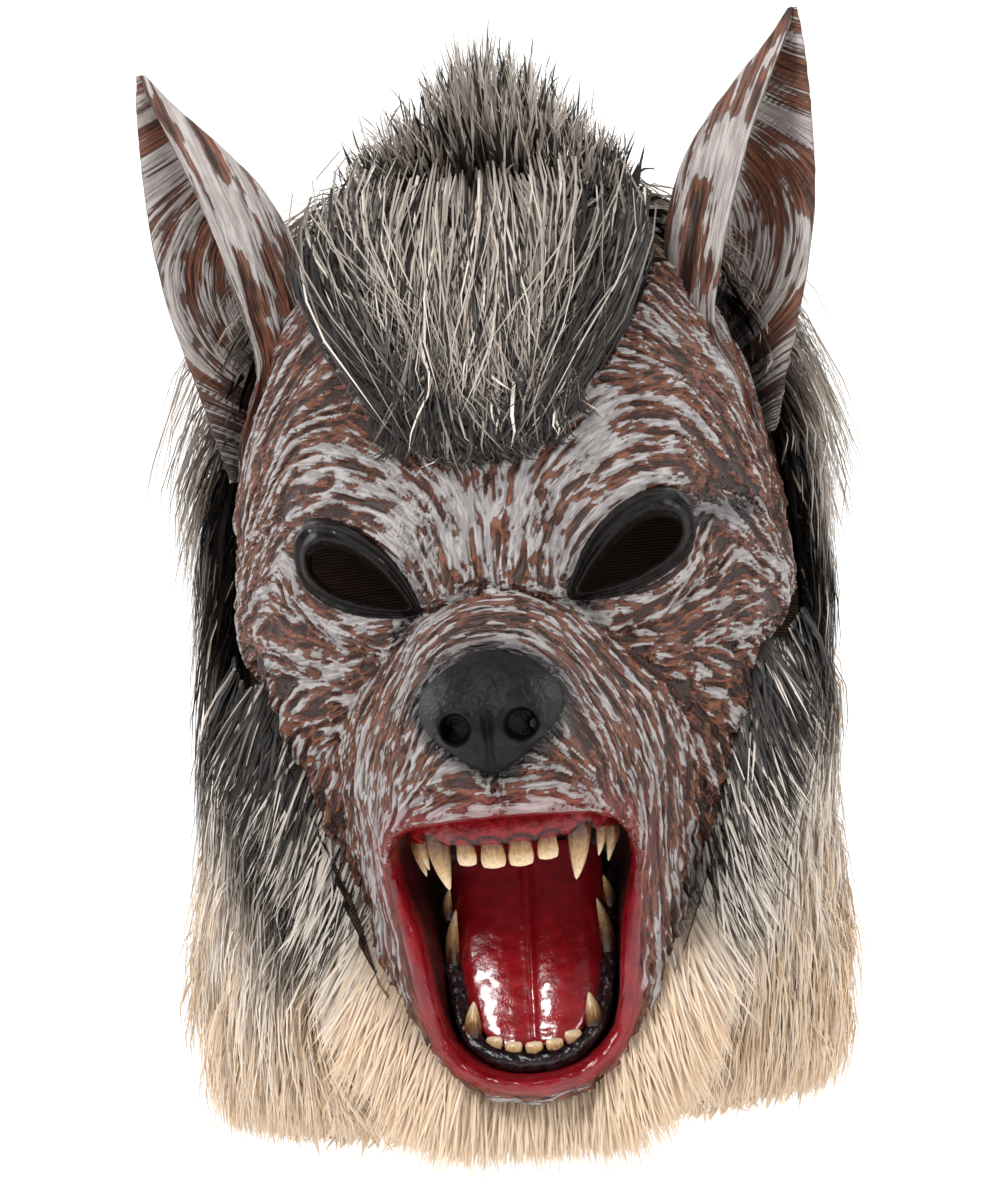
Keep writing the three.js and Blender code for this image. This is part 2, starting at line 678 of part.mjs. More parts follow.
// Cutting a tooth on its gum leaves a root stub above it: the crown is the part on the free side.
function crownOf(solid, way) {
  const reach = (part) => (way < 0 ? -part.boundingBox().min[2] : part.boundingBox().max[2]);
  return solid.decompose().reduce((a, b) => (reach(a) > reach(b) ? a : b));
}

// The tongue hangs out over the lower jaw: its slices run from the throat to the tip, with a groove along the middle.
const TONGUE_SLICES = [
  { ahead: 0.426, down: 0.133, wide: 0.9, thick: 1.0 },
  { ahead: 0.468, down: 0.286, wide: 1.0, thick: 1.0 },
  { ahead: 0.527, down: 0.49, wide: 1.0, thick: 1.0 },
  { ahead: 0.585, down: 0.684, wide: 0.92, thick: 0.95 },
  { ahead: 0.628, down: 0.816, wide: 0.74, thick: 0.8 },
  { ahead: 0.649, down: 0.888, wide: 0.4, thick: 0.5 },
];
const TONGUE_PROFILE = [
  { across: -1, rise: 0 },
  { across: -0.8, rise: 0.75 },
  { across: -0.35, rise: 1 },
  { across: -0.1, rise: 0.86 },
  { across: 0, rise: 0.6 },
  { across: 0.1, rise: 0.86 },
  { across: 0.35, rise: 1 },
  { across: 0.8, rise: 0.75 },
  { across: 1, rise: 0 },
  { across: 0.6, rise: -0.3 },
  { across: -0.6, rise: -0.3 },
];

function tongue() {
  const run = inMouth(TONGUE_SLICES[TONGUE_SLICES.length - 1]).sub(inMouth(TONGUE_SLICES[0])).normalize();
  const up = new THREE.Vector3(0, run.z, -run.y);
  if (up.y > 0) up.negate();
  const rings = TONGUE_SLICES.map((slice) =>
    TONGUE_PROFILE.map(({ across, rise }) =>
      inMouth(slice)
        .setX((across * slice.wide * TONGUE_WIDTH) / 2)
        .addScaledVector(up, rise * slice.thick * TONGUE_THICKNESS),
    ),
  );
  return largest(loft(rings).subtract(gumTube(LOWER_JAW, CLEARANCE)).intersect(mouthHollow));
}

// An ear from slices of its height. Inner, rim and outer are shares of its width in the front view, from the edge
// beside the head, over the folded front rim, to the far edge; ahead and behind are depths in shares of half the head's.
const EAR_SLICES = [
  { rise: 0, inner: 0.44, rim: 0.52, outer: 0.62, ahead: 0.3, behind: -0.1 },
  { rise: 0.11, inner: 0.24, rim: 0.46, outer: 0.7, ahead: 0.37, behind: -0.02 },
  { rise: 0.25, inner: 0.0, rim: 0.32, outer: 0.81, ahead: 0.4, behind: 0.08 },
  { rise: 0.4, inner: 0.0, rim: 0.38, outer: 0.92, ahead: 0.4, behind: 0.11 },
  { rise: 0.57, inner: 0.09, rim: 0.51, outer: 1.0, ahead: 0.35, behind: 0.11 },
  { rise: 0.71, inner: 0.27, rim: 0.64, outer: 1.02, ahead: 0.3, behind: 0.07 },
  { rise: 0.84, inner: 0.56, rim: 0.79, outer: 1.02, ahead: 0.22, behind: 0.0 },
  { rise: 0.94, inner: 0.81, rim: 0.91, outer: 1.01, ahead: 0.15, behind: -0.05 },
  { rise: 1, inner: 0.93, rim: 0.96, outer: 0.99, ahead: 0.11, behind: -0.08 },
];

// Where the ear's wall runs between its rims: depths, and the place of its back, as shares.
const EAR_FOLD = 0.42;
const EAR_BACK = 0.4;
const EAR_FAR_EDGE = 0.62;
const EAR_STEPS = 7;
const EAR_THINNING = 0.32; // near the tip the wall takes this share of the slice's width

function earWalls(slice) {
  const at = (share) => EAR_OFFSET + share * EAR_WIDTH;
  const z = -EAR_DROP + slice.rise * EAR_HEIGHT;
  const front = -slice.ahead * HALF_DEPTH;
  const back = slice.behind * HALF_DEPTH;
  const depth = back - front;
  const guide = new THREE.CatmullRomCurve3([
    new THREE.Vector3(at(slice.rim), front, z),
    new THREE.Vector3(at(slice.inner), front + depth * EAR_FOLD, z),
    new THREE.Vector3(at(slice.inner * (1 - EAR_BACK) + slice.outer * EAR_BACK), back, z),
    new THREE.Vector3(at(slice.outer), front + depth * EAR_FAR_EDGE, z),
  ]);
  const outside = guide.getPoints(EAR_STEPS);
  const wall = Math.min(EAR_WALL, (slice.outer - slice.inner) * EAR_WIDTH * EAR_THINNING);
  const inside = outside.map((p, i) => {
    const before = outside[Math.max(0, i - 1)];
    const after = outside[Math.min(outside.length - 1, i + 1)];
    const normal = new THREE.Vector2(after.y - before.y, before.x - after.x).normalize();
    return new THREE.Vector3(p.x + normal.x * wall, p.y + normal.y * wall, z);
  });
  return { outside, inside };
}

function earOn(side, ring) {
  return side > 0 ? ring : ring.map((p) => new THREE.Vector3(-p.x, p.y, p.z));
}

function ear(side) {
  const rings = EAR_SLICES.map((slice) => {
    const { outside, inside } = earWalls(slice);
    return earOn(side, [...outside, ...inside.reverse()]);
  });
  return largest(loft(rings).subtract(headSolid(CLEARANCE)));
}

// The whole room that an ear takes, a clearance wider, for what lies around it.
function earRoom(side) {
  const rings = EAR_SLICES.map((slice) => {
    const { outside, inside } = earWalls(slice);
    const flat = [...outside, inside[inside.length - 1], inside[0]].map((p) => [p.x, p.y]);
    const z = -EAR_DROP + slice.rise * EAR_HEIGHT;
    return earOn(side, grown(flat, 2 * CLEARANCE).map(([x, y]) => new THREE.Vector3(x, y, z)));
  });
  const tip = rings[rings.length - 1].map((p) => p.clone().setZ(p.z + 2 * CLEARANCE));
  return loft([...rings, tip]);
}

// How deep the fur stands, as shares of its pile, at the front, the sides and the back of the head.
const PILE_ROWS = [
  { down: 0, front: 1.0, side: 1.0, back: 1.0 },
  { down: 0.12, front: 0.8, side: 0.8, back: 0.9 },
  { down: 0.3, front: 0.4, side: 0.5, back: 0.9 },
  { down: 0.45, front: 0.5, side: 0.55, back: 0.9 },
  { down: 0.62, front: 0.6, side: 0.75, back: 0.95 },
  { down: 0.82, front: 0.8, side: 1.15, back: 1.05 },
  { down: 1.1, front: 0.9, side: 1.1, back: 1.0 },
];

function pileAt(turn, drop) {
  const down = drop / FACE_HEIGHT;
  const next = Math.max(1, PILE_ROWS.findIndex((row) => row.down >= down));
  const above = PILE_ROWS[next - 1];
  const below = PILE_ROWS[next];
  const share = THREE.MathUtils.clamp((down - above.down) / (below.down - above.down), 0, 1);
  const at = (key) => THREE.MathUtils.lerp(above[key], below[key], share);
  const ahead = Math.cos(rad(turn));
  const end = ahead > 0 ? at("front") : at("back");
  return FUR_PILE * THREE.MathUtils.lerp(at("side"), end, ahead * ahead);
}

// Fur panels between two drops below the crown, as shares of the face's height.
const FUR_PANELS = [
  { name: "crown_fur", from: 0, to: 0.3, above: TUFT_HEIGHT, below: 0 },
  { name: "mane_fur", from: 0.3, to: 0.79, above: 0, below: 0 },
  { name: "throat_fur", from: 0.79, to: 1.0, above: 0, below: LOCK_LENGTH },
];

function slab(fromDrop, toDrop) {
  const outline = [[-FAR, -fromDrop], [FAR, -fromDrop], [FAR, -toDrop], [-FAR, -toDrop]];
  return frontCutter(outline, -FAR, FAR);
}

// A lock of hair: a blade that starts in the skin of its panel, swells and hangs to a tip.
const LOCK_STEPS = [
  { along: 0, height: 0.3, wide: 0.5, thick: 0.2 },
  { along: 0.5, height: 0.75, wide: 1, thick: 0.35 },
  { along: 1, height: 0.95, wide: 0.12, thick: 0.06 },
];

// The distance from the head's inside axis to its skin.
function reachAt(turn, drop) {
  return onHead(turn, drop, 0).setZ(0).distanceTo(new THREE.Vector3(0, AXIS_Y, 0));
}

function lock(turn, drop) {
  const radius = Math.max(reachAt(turn, drop), LOCK_WIDTH);
  const halfTurn = THREE.MathUtils.radToDeg(LOCK_WIDTH / 2 / radius);
  const lean = (Math.tan(rad(FUR_LEAN)) * LOCK_LENGTH * Math.cos(rad(turn))) / radius;
  const rings = LOCK_STEPS.map(({ along, height, wide, thick }) => {
    const middle = turn - THREE.MathUtils.radToDeg(lean * along);
    const down = drop + along * LOCK_LENGTH;
    const pile = pileAt(turn, down);
    const low = FUR_GAP + height * pile;
    const high = low + thick * pile;
    return [
      onHead(middle - halfTurn * wide, down, low),
      onHead(middle + halfTurn * wide, down, low),
      onHead(middle, down, high),
    ];
  });
  return loft(rings);
}

// The upright tuft on the crown: a fan of blades that lean outwards a little, from steps up their height. Spread and
// half are shares of a lock's width.
const TUFT_BLADES = 6;
const TUFT_FOOT = 0.3; // the blades start at this share of the pile
const TUFT_INSET = 0.16;
const TUFT_STEPS = [
  { up: 0, spread: 0, half: 0.3 },
  { up: 0.55, spread: 0.12, half: 0.24 },
  { up: 1, spread: 0.2, half: 0.05 },
];

function tuft() {
  const sunk = FUR_PILE * TUFT_FOOT;
  const blades = [];
  for (let i = 0; i < TUFT_BLADES; i++) {
    const turn = (2 * Math.PI * i) / TUFT_BLADES;
    const out = new THREE.Vector3(Math.sin(turn), Math.cos(turn), 0);
    const across = new THREE.Vector3(out.y, -out.x, 0);
    const foot = onHead(0, 0, FUR_GAP + sunk).addScaledVector(out, LOCK_WIDTH * TUFT_INSET);
    const rings = TUFT_STEPS.map(({ up, spread, half }) => {
      const centre = foot.clone().addScaledVector(out, spread * LOCK_WIDTH);
      centre.z += up * (TUFT_HEIGHT - sunk);
      return ellipseRing(centre, across, out, half * LOCK_WIDTH, half * LOCK_WIDTH, 4);
    });
    blades.push(loft(rings));
  }
  return blades;
}

// The body of the fur stands in tufts, so its outside rises and falls from point to point.
const FUR_BODY = 0.7;
const FUR_DIP = 0.45;
const BELOW_HEM = 5; // cuts run on past the hem by this much
const LOCK_OVERLAP = 0.7; // rows of locks stand this share of their length apart
const LOCK_START = 0.25; // where in its band a row starts
const FEWEST_LOCKS = 4;
function furHeight(turn, drop, row, i) {
  return FUR_GAP + pileAt(turn, drop) * ((row + i) % 2 ? FUR_DIP : FUR_BODY);
}

const furBody = headSolid(furHeight, 0, FUR_GRID).subtract(headSolid(FUR_GAP, BELOW_HEM, FUR_GRID));
const hoodRoom = headSolid(CLEARANCE, BELOW_HEM);
const earRooms = [-1, 1].map(earRoom);

function furPanel({ name, from, to, above, below }) {
  const fromDrop = from * FACE_HEIGHT;
  const toDrop = to * FACE_HEIGHT;
  const locks = [];
  const rows = Math.max(1, Math.round((toDrop - fromDrop) / (LOCK_LENGTH * LOCK_OVERLAP)));
  for (let row = 0; row < rows; row++) {
    const drop = fromDrop + ((row + LOCK_START) * (toDrop - fromDrop)) / rows;
    const around = Math.max(FEWEST_LOCKS, Math.round((2 * Math.PI * reachAt(90, drop)) / LOCK_WIDTH));
    for (let i = 0; i < around; i++) {
      const turn = ((i + (row % 2) / 2) * 360) / around - 180;
      locks.push(lock(turn, drop));
    }
  }
  if (from === 0) locks.push(...tuft());
  const zone = slab(fromDrop - 2 * above + CLEARANCE / 2, toDrop + below - CLEARANCE / 2);
  let fur = wasm.Manifold.union([furBody, ...locks]).intersect(zone);
  for (const room of [hoodCut, hoodRoom, ...earRooms]) fur = fur.subtract(room);
  return { name, solid: largest(fur) };
}

const COLOURS = {
  latex: { color: 0x8a7570, roughness: 0.62 },
  hood: { color: 0x1c1a1a, roughness: 0.95 },
  fur: { color: 0x8d8378, roughness: 0.95 },
  tan: { color: 0xc9a882, roughness: 0.95 },
  nose: { color: 0x2c2a29, roughness: 0.4 },
  rim: { color: 0x16100e, roughness: 0.25 },
  gum: { color: 0xa01c22, roughness: 0.2 },
  lining: { color: 0x1a0707, roughness: 0.3 },
  tooth: { color: 0xd9bd8a, roughness: 0.3 },
};

function meshOf(name, solid, look) {
  const mesh = solid.getMesh();
  const geometry = new THREE.BufferGeometry();
  geometry.setAttribute("position", new THREE.BufferAttribute(mesh.vertProperties, 3));
  geometry.setIndex(new THREE.BufferAttribute(mesh.triVerts, 1));
  geometry.computeVertexNormals();
  const made = new THREE.Mesh(geometry, new THREE.MeshStandardMaterial({ ...COLOURS[look], metalness: 0 }));
  made.name = name;
  return made;
}

const mask = new THREE.Group();
mask.name = "werewolf_mask";
mask.add(meshOf("face_shell", largest(faceShell()), "latex"));
mask.add(meshOf("muzzle_shell", largest(muzzleShell()), "latex"));
mask.add(meshOf("crown_backing", largest(crownBacking()), "hood"));
mask.add(meshOf("nose_pad", nosePad(), "nose"));
mask.add(meshOf("mouth_lining", mouthLining(), "lining"));
mask.add(meshOf("upper_gum", gum(UPPER_JAW), "gum"));
mask.add(meshOf("lower_gum", gum(LOWER_JAW), "lining"));
mask.add(meshOf("tongue", tongue(), "gum"));
for (const [side, hand] of [[-1, "left"], [1, "right"]]) {
  mask.add(meshOf(`hood_backing_${hand}`, largest(hoodBacking(side)), "hood"));
  mask.add(meshOf(`ear_${hand}`, ear(side), "latex"));
  mask.add(meshOf(`eye_rim_${hand}`, eyeRim(side), "rim"));
}
for (const { name, solid } of [...teethOf(UPPER_JAW, UPPER_TEETH), ...teethOf(LOWER_JAW, LOWER_TEETH)]) {
  mask.add(meshOf(name, solid, "tooth"));
}
for (const panel of FUR_PANELS) {
  const { name, solid } = furPanel(panel);
  mask.add(meshOf(name, solid, name === "throat_fur" ? "tan" : "fur"));
}
export default mask;
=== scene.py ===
"""Dresses the werewolf mask: carved and dry-brushed latex, a wet open mouth, and long hair on the hood.

Lengths are millimetres in the part's own frame until a mesh is made: the face looks along -Y and +Z is up.
A row of a table gives places as shares of the head's sizes, with down counted from the crown.
"""
import logging
import math
from dataclasses import dataclass, field
from enum import Enum
from typing import Callable, Optional, Sequence, Union

import bpy
import numpy as np
from mathutils import Matrix


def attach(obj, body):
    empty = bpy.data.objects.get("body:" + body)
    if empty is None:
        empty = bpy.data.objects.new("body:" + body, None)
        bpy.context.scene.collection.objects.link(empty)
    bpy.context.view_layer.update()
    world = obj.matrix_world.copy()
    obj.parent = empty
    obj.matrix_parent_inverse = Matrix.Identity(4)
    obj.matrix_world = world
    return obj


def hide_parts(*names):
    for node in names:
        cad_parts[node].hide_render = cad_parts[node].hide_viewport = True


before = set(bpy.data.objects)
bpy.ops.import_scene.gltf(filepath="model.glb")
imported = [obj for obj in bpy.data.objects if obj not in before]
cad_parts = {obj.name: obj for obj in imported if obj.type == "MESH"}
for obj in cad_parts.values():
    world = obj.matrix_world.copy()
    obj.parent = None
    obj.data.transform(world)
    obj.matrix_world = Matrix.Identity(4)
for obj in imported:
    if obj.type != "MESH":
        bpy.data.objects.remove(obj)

MILLIMETRE = 0.001
BAKE_MAP = "OFBake"

Array = np.ndarray
Colour = tuple[float, float, float]


# Shader maths


class Channel:
    """A number that a shader works out at each point: its operators add Math nodes."""

    def __init__(self, tree: bpy.types.NodeTree, socket: bpy.types.NodeSocket) -> None:
        """Wraps an output socket.

        Args:
            tree: the material's node tree.
            socket: the output that gives the number.
        """
        self.tree = tree
        self.socket = socket

    def _math(self, operation: str, *values: "Number") -> "Channel":
        """Adds one Math node.

        Args:
            operation: the node's operation.
            values: its inputs in order.
        Returns:
            The node's result.
        """
        node = self.tree.nodes.new("ShaderNodeMath")
        node.operation = operation
        for socket, value in zip(node.inputs, values):
            if isinstance(value, Channel):
                self.tree.links.new(value.socket, socket)
            else:
                socket.default_value = value
        return Channel(self.tree, node.outputs[0])

    def __add__(self, other: "Number") -> "Channel":
        """Returns the sum."""
        return self._math("ADD", self, other)

    __radd__ = __add__

    def __sub__(self, other: "Number") -> "Channel":
        """Returns the difference."""
        return self._math("SUBTRACT", self, other)

    def __rsub__(self, other: "Number") -> "Channel":
        """Returns the difference the other way round."""
        return self._math("SUBTRACT", other, self)

    def __mul__(self, other: "Number") -> "Channel":
        """Returns the product."""
        return self._math("MULTIPLY", self, other)

    __rmul__ = __mul__

    def __pow__(self, other: "Number") -> "Channel":
        """Returns the power."""
        return self._math("POWER", self, other)

    def at_least(self, low: "Number") -> "Channel":
        """Returns the larger of the two."""
        return self._math("MAXIMUM", self, low)

    def step(self, low: float, high: float) -> "Channel":
        """Rises smoothly from 0 to 1 between two values.

        Args:
            low: where it leaves 0.
            high: where it reaches 1.
        Returns:
            The eased number.
        """
        node = self.tree.nodes.new("ShaderNodeMapRange")
        node.interpolation_type = "SMOOTHSTEP"
        self.tree.links.new(self.socket, node.inputs["Value"])
        node.inputs["From Min"].default_value = low
        node.inputs["From Max"].default_value = high
        return Channel(self.tree, node.outputs["Result"])


Number = Union[float, Channel]
Socket = Union[float, Sequence[float], Channel, bpy.types.NodeSocket]


class Shader:
    """One procedural material, built round a Principled node."""

    MIX_FACTOR, MIX_A, MIX_B, MIX_RESULT = 0, 6, 7, 2

    def __init__(self, name: str) -> None:
        """Starts a material.

        Args:
            name: the material's name.
        """
        self.material = bpy.data.materials.new(name)
        self.material.use_nodes = True
        self.tree = self.material.node_tree
        self.surface = self.tree.nodes["Principled BSDF"]

    def node(self, kind: str, settings: dict, inputs: dict) -> bpy.types.Node:
        """Adds any node.

        Args:
            kind: the node's type.
            settings: its own properties, set first; stops fills a colour ramp.
            inputs: values or links by socket name or number.
        Returns:
            The new node.
        """
        node = self.tree.nodes.new(kind)
        for key, value in settings.items():
            if key == "stops":
                self._fill_ramp(node.color_ramp, value)
            else:
                setattr(node, key, value)
        for key, value in inputs.items():
            self.feed(node.inputs[key], value)
        return node

    def _fill_ramp(self, ramp: bpy.types.ColorRamp, stops: Sequence[tuple[float, Colour]]) -> None:
        """Sets a ramp's stops.

        Args:
            ramp: the ramp to fill.
            stops: places and colours in order.
        """
        while len(ramp.elements) < len(stops):
            ramp.elements.new(1.0)
        for element, (place, colour) in zip(ramp.elements, stops):
            element.position = place
            element.color = (*colour, 1.0)

    def feed(self, socket: bpy.types.NodeSocket, value: Socket) -> None:
        """Links a socket or sets its value.

        Args:
            socket: the input.
            value: a channel, an output socket, a number or a colour.
        """
        if isinstance(value, Channel):
            self.tree.links.new(value.socket, socket)
        elif isinstance(value, bpy.types.NodeSocket):
            self.tree.links.new(value, socket)
        elif isinstance(value, (tuple, list)) and socket.type == "RGBA":
            socket.default_value = (*value, 1.0)
        else:
            socket.default_value = value

    def attribute(self, name: str) -> Channel:
        """Returns a number that the mesh carries."""
        node = self.node("ShaderNodeAttribute", {"attribute_name": name}, {})
        return Channel(self.tree, node.outputs["Fac"])

    def attribute_vector(self, name: str) -> bpy.types.NodeSocket:
        """Returns a vector that the mesh carries."""
        return self.node("ShaderNodeAttribute", {"attribute_name": name}, {}).outputs["Vector"]

    def position(self) -> bpy.types.NodeSocket:
        """Returns the point's place in the object, in metres."""
        return self.node("ShaderNodeTexCoord", {}, {}).outputs["Object"]

    def split(self, vector: bpy.types.NodeSocket) -> tuple[Channel, Channel, Channel]:
        """Returns a vector's three parts."""
        node = self.node("ShaderNodeSeparateXYZ", {}, {"Vector": vector})
        return tuple(Channel(self.tree, output) for output in node.outputs)

    def join(self, x: Number, y: Number, z: Number) -> bpy.types.NodeSocket:
        """Returns a vector from three parts."""
        return self.node("ShaderNodeCombineXYZ", {}, {"X": x, "Y": y, "Z": z}).outputs[0]

    def noise(self, where: bpy.types.NodeSocket, size: float, detail: float = 2.0,
              rough: float = 0.5) -> Channel:
        """Adds soft noise.

        Args:
            where: the place that it is read at, in metres.
            size: the width of its patches in millimetres.
            detail: how many finer layers it has.
            rough: how strong those layers are.
        Returns:
            The noise, about 0.5.
        """
        inputs = {"Vector": where, "Scale": 1.0 / (size * MILLIMETRE), "Detail": detail, "Roughness": rough}
        node = self.node("ShaderNodeTexNoise", {}, inputs)
        return Channel(self.tree, node.outputs["Fac"])

    def mix(self, share: Number, first: Socket, second: Socket) -> bpy.types.NodeSocket:
        """Mixes two colours.

        Args:
            share: how much of the second.
            first: a colour or socket.
            second: a colour or socket.
        Returns:
            The mixed colour.
        """
        inputs = {self.MIX_FACTOR: share, self.MIX_A: first, self.MIX_B: second}
        return self.node("ShaderNodeMix", {"data_type": "RGBA"}, inputs).outputs[self.MIX_RESULT]

    def ramp(self, where: Channel, stops: Sequence[tuple[float, Colour]]) -> bpy.types.NodeSocket:
        """Returns a colour read off a ramp."""
        return self.node("ShaderNodeValToRGB", {"stops": stops}, {"Fac": where}).outputs["Color"]

    def bump(self, height: Channel, depth: float,
             under: Optional[bpy.types.NodeSocket] = None) -> bpy.types.NodeSocket:
        """Adds a Bump node.

        Args:
            height: the relief, from 0 to 1.
            depth: how deep it is, in millimetres.
            under: another bump that it lies on.
        Returns:
            The bent normal.
        """
        inputs = {"Height": height, "Distance": depth * MILLIMETRE}
        if under is not None:
            inputs["Normal"] = under
        return self.node("ShaderNodeBump", {}, inputs).outputs[0]

    def finish(self, **sockets: Socket) -> bpy.types.Material:
        """Feeds the surface's sockets.

        Args:
            sockets: values or links, with the sockets' names in small letters and low lines.
        Returns:
            The material.
        """
        for name, value in sockets.items():
            title = name.replace("_", " ").title().replace("Ior", "IOR")
            self.feed(self.surface.inputs[title], value)
        return self.material


# Noise and curves on arrays


def lattice(cells: Array, seed: int) -> Array:
    """Gives each whole-numbered cell its own number from -1 to 1."""
    n = cells.astype(np.int64)
    key = n[..., 0] * 73856093 ^ n[..., 1] * 19349663 ^ n[..., 2] * 83492791 ^ (seed * 2654435761)
    key = (key ^ (key >> 13)) * 1274126177 & 0xFFFFFFFF
    key = (key ^ (key >> 16)) * 2246822519 & 0xFFFFFFFF
    return (key & 0xFFFF) / 32767.5 - 1.0


def value_noise(points: Array, size: float, seed: int) -> Array:
    """Smooth noise from -1 to 1.

    Args:
        points: places in rows of three.
        size: the width of its patches.
        seed: which noise.
    Returns:
        One number per place.
    """
    scaled = points / size
    base = np.floor(scaled)
    part = scaled - base
    part = part * part * (3 - 2 * part)
    total = np.zeros(len(points))
    for dx in (0, 1):
        for dy in (0, 1):
            for dz in (0, 1):
                corner = np.array((dx, dy, dz))
                weight = np.prod(np.where(corner, part, 1 - part), axis=1)
                total += weight * lattice(base + corner, seed)
    return total


def ease(values: Array, low: float, high: float) -> Array:
    """Rises smoothly from 0 to 1 between two values."""
    share = np.clip((values - low) / (high - low), 0, 1)
    return share * share * (3 - 2 * share)


def unit(rows: Array) -> Array:
    """Returns rows brought to a length of 1."""
    return rows / np.maximum(np.linalg.norm(rows, axis=-1, keepdims=True), 1e-12)


def read_grid(table: Array, i: Array, j: Array) -> Array:
    """Reads a table between its entries.

    Args:
        table: a number or a row of numbers for each pair of steps.
        i: places along the first steps.
        j: places along the second.
    Returns:
        One entry per place.
    """
    i0, j0 = i.astype(int), j.astype(int)
    i1 = np.minimum(i0 + 1, len(table) - 1)
    fi, fj = i - i0, j - j0
    if table.ndim > 2:
        fi, fj = fi[:, None], fj[:, None]
    low = table[i0, j0] * (1 - fi) + table[i1, j0] * fi
    high = table[i0, j0 + 1] * (1 - fi) + table[i1, j0 + 1] * fi
    return low * (1 - fj) + high * fj


def spline(rows: Array, places: Array, knots: Optional[Array] = None) -> Array:
    """Reads a smooth curve through rows of numbers.

    Args:
        rows: the rows, one per knot.
        places: where to read it.
        knots: the rows' places, or None for even ones from 0 to 1.
    Returns:
        One row per place.
    """
    rows = np.asarray(rows, float)
    knots = np.linspace(0, 1, len(rows)) if knots is None else np.asarray(knots, float)
    slopes = np.gradient(rows, knots, axis=0)
    index = np.clip(np.searchsorted(knots, places, side="right") - 1, 0, len(knots) - 2)
    span = (knots[index + 1] - knots[index])[:, None]
    t = ((places - knots[index])[:, None]) / span
    a, b = rows[index], rows[index + 1]
    ma, mb = slopes[index] * span, slopes[index + 1] * span
    begun = (2 * t**3 - 3 * t**2 + 1) * a + (t**3 - 2 * t**2 + t) * ma
    return begun + (3 * t**2 - 2 * t**3) * b + (t**3 - t**2) * mb


def from_outline(points: Array, outline: Array) -> Array:
    """Signed distance from flat points to a closed outline, negative inside.

    Args:
        points: places in rows of two.
        outline: the outline's corners in rows of two.
    Returns:
        One distance per place.
    """
    nearest = np.full(len(points), np.inf)
    inside = np.zeros(len(points), bool)
    for start, end in zip(outline, np.roll(outline, -1, axis=0)):
        nearest = np.minimum(nearest, from_segment(points, start, end))
        crosses = (start[1] > points[:, 1]) != (end[1] > points[:, 1])
        if start[1] != end[1]:
            edge = start[0] + (points[:, 1] - start[1]) * (end[0] - start[0]) / (end[1] - start[1])
            inside ^= crosses & (points[:, 0] < edge)
    return np.where(inside, -nearest, nearest)


def from_segment(points: Array, start: Array, end: Array) -> Array:
    """Distance from flat points to a straight piece."""
    run = end - start
    share = np.clip(((points - start) @ run) / max(run @ run, 1e-9), 0, 1)
    return np.linalg.norm(points - start - share[:, None] * run, axis=1)


def from_path(points: Array, path: Array) -> Array:
    """Distance from flat points to a broken line."""
    return np.min([from_segment(points, a, b) for a, b in zip(path[:-1], path[1:])], axis=0)


def blended_min(a: Array, b: Array, radius: float) -> Array:
    """The smaller of two fields, rounded where they meet."""
    h = np.maximum(radius - np.abs(a - b), 0) / radius
    return np.minimum(a, b) - h * h * h * radius / 6


# Meshes


@dataclass
class Skin:
    """Points, faces and what each point carries, before they become a mesh."""

    points: Array
    faces: Array
    carried: dict[str, Array] = field(default_factory=dict)
    bake: Optional[Array] = None

    def joined(self, other: "Skin") -> "Skin":
        """Puts another skin beside this one.

        Args:
            other: a skin with faces of as many corners.
        Returns:
            Both as one skin.
        """
        carried = {}
        for name in {**self.carried, **other.carried}:
            parts = [skin.carried.get(name) for skin in (self, other)]
            shape = next(part.shape[1:] for part in parts if part is not None)
            sizes = (len(self.points), len(other.points))
            filled = [np.zeros((n, *shape)) if part is None else part for part, n in zip(parts, sizes)]
            carried[name] = np.concatenate(filled)
        points = np.concatenate([self.points, other.points])
        faces = np.concatenate([self.faces, other.faces + len(self.points)])
        bake = None if self.bake is None else np.concatenate([self.bake, other.bake])
        return Skin(points, faces, carried, bake)

    def piece(self, name: str, material: bpy.types.Material, slot: str, *nodes: str) -> bpy.types.Object:
        """Makes the mesh, which rides on the mask and stands for CAD nodes.

        Args:
            name: the piece's name.
            material: its finish.
            slot: the record's material slot; not used.
            nodes: the CAD nodes that it replaces.
        Returns:
            The new object.
        """
        mesh = bpy.data.meshes.new(name)
        corners = self.faces.shape[1]
        mesh.vertices.add(len(self.points))
        mesh.vertices.foreach_set("co", (self.points * MILLIMETRE).astype(np.float32).ravel())
        mesh.loops.add(self.faces.size)
        mesh.loops.foreach_set("vertex_index", self.faces.astype(np.int32).ravel())
        mesh.polygons.add(len(self.faces))
        mesh.polygons.foreach_set("loop_start", np.arange(0, self.faces.size, corners, dtype=np.int32))
        mesh.polygons.foreach_set("use_smooth", np.ones(len(self.faces), bool))
        for key, values in self.carried.items():
            self._carry(mesh, key, values)
        if self.bake is not None:
            layer = mesh.uv_layers.new(name=BAKE_MAP)
            layer.data.foreach_set("uv", self.bake[self.faces.ravel()].astype(np.float32).ravel())
        mesh.update(calc_edges=True)
        mesh.materials.append(material)
        made = bpy.data.objects.new(name, mesh)
        bpy.context.scene.collection.objects.link(made)
        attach(made, "root")
        if nodes:
            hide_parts(*nodes)
        return made

    def _carry(self, mesh: bpy.types.Mesh, key: str, values: Array) -> None:
        """Writes one attribute on the mesh.

        Args:
            mesh: the mesh.
            key: the attribute's name.
            values: one number or row of three per point.
        """
        kind, slot_name = ("FLOAT", "value") if values.ndim == 1 else ("FLOAT_VECTOR", "vector")
        layer = mesh.attributes.new(key, kind, "POINT")
        layer.data.foreach_set(slot_name, values.astype(np.float32).ravel())


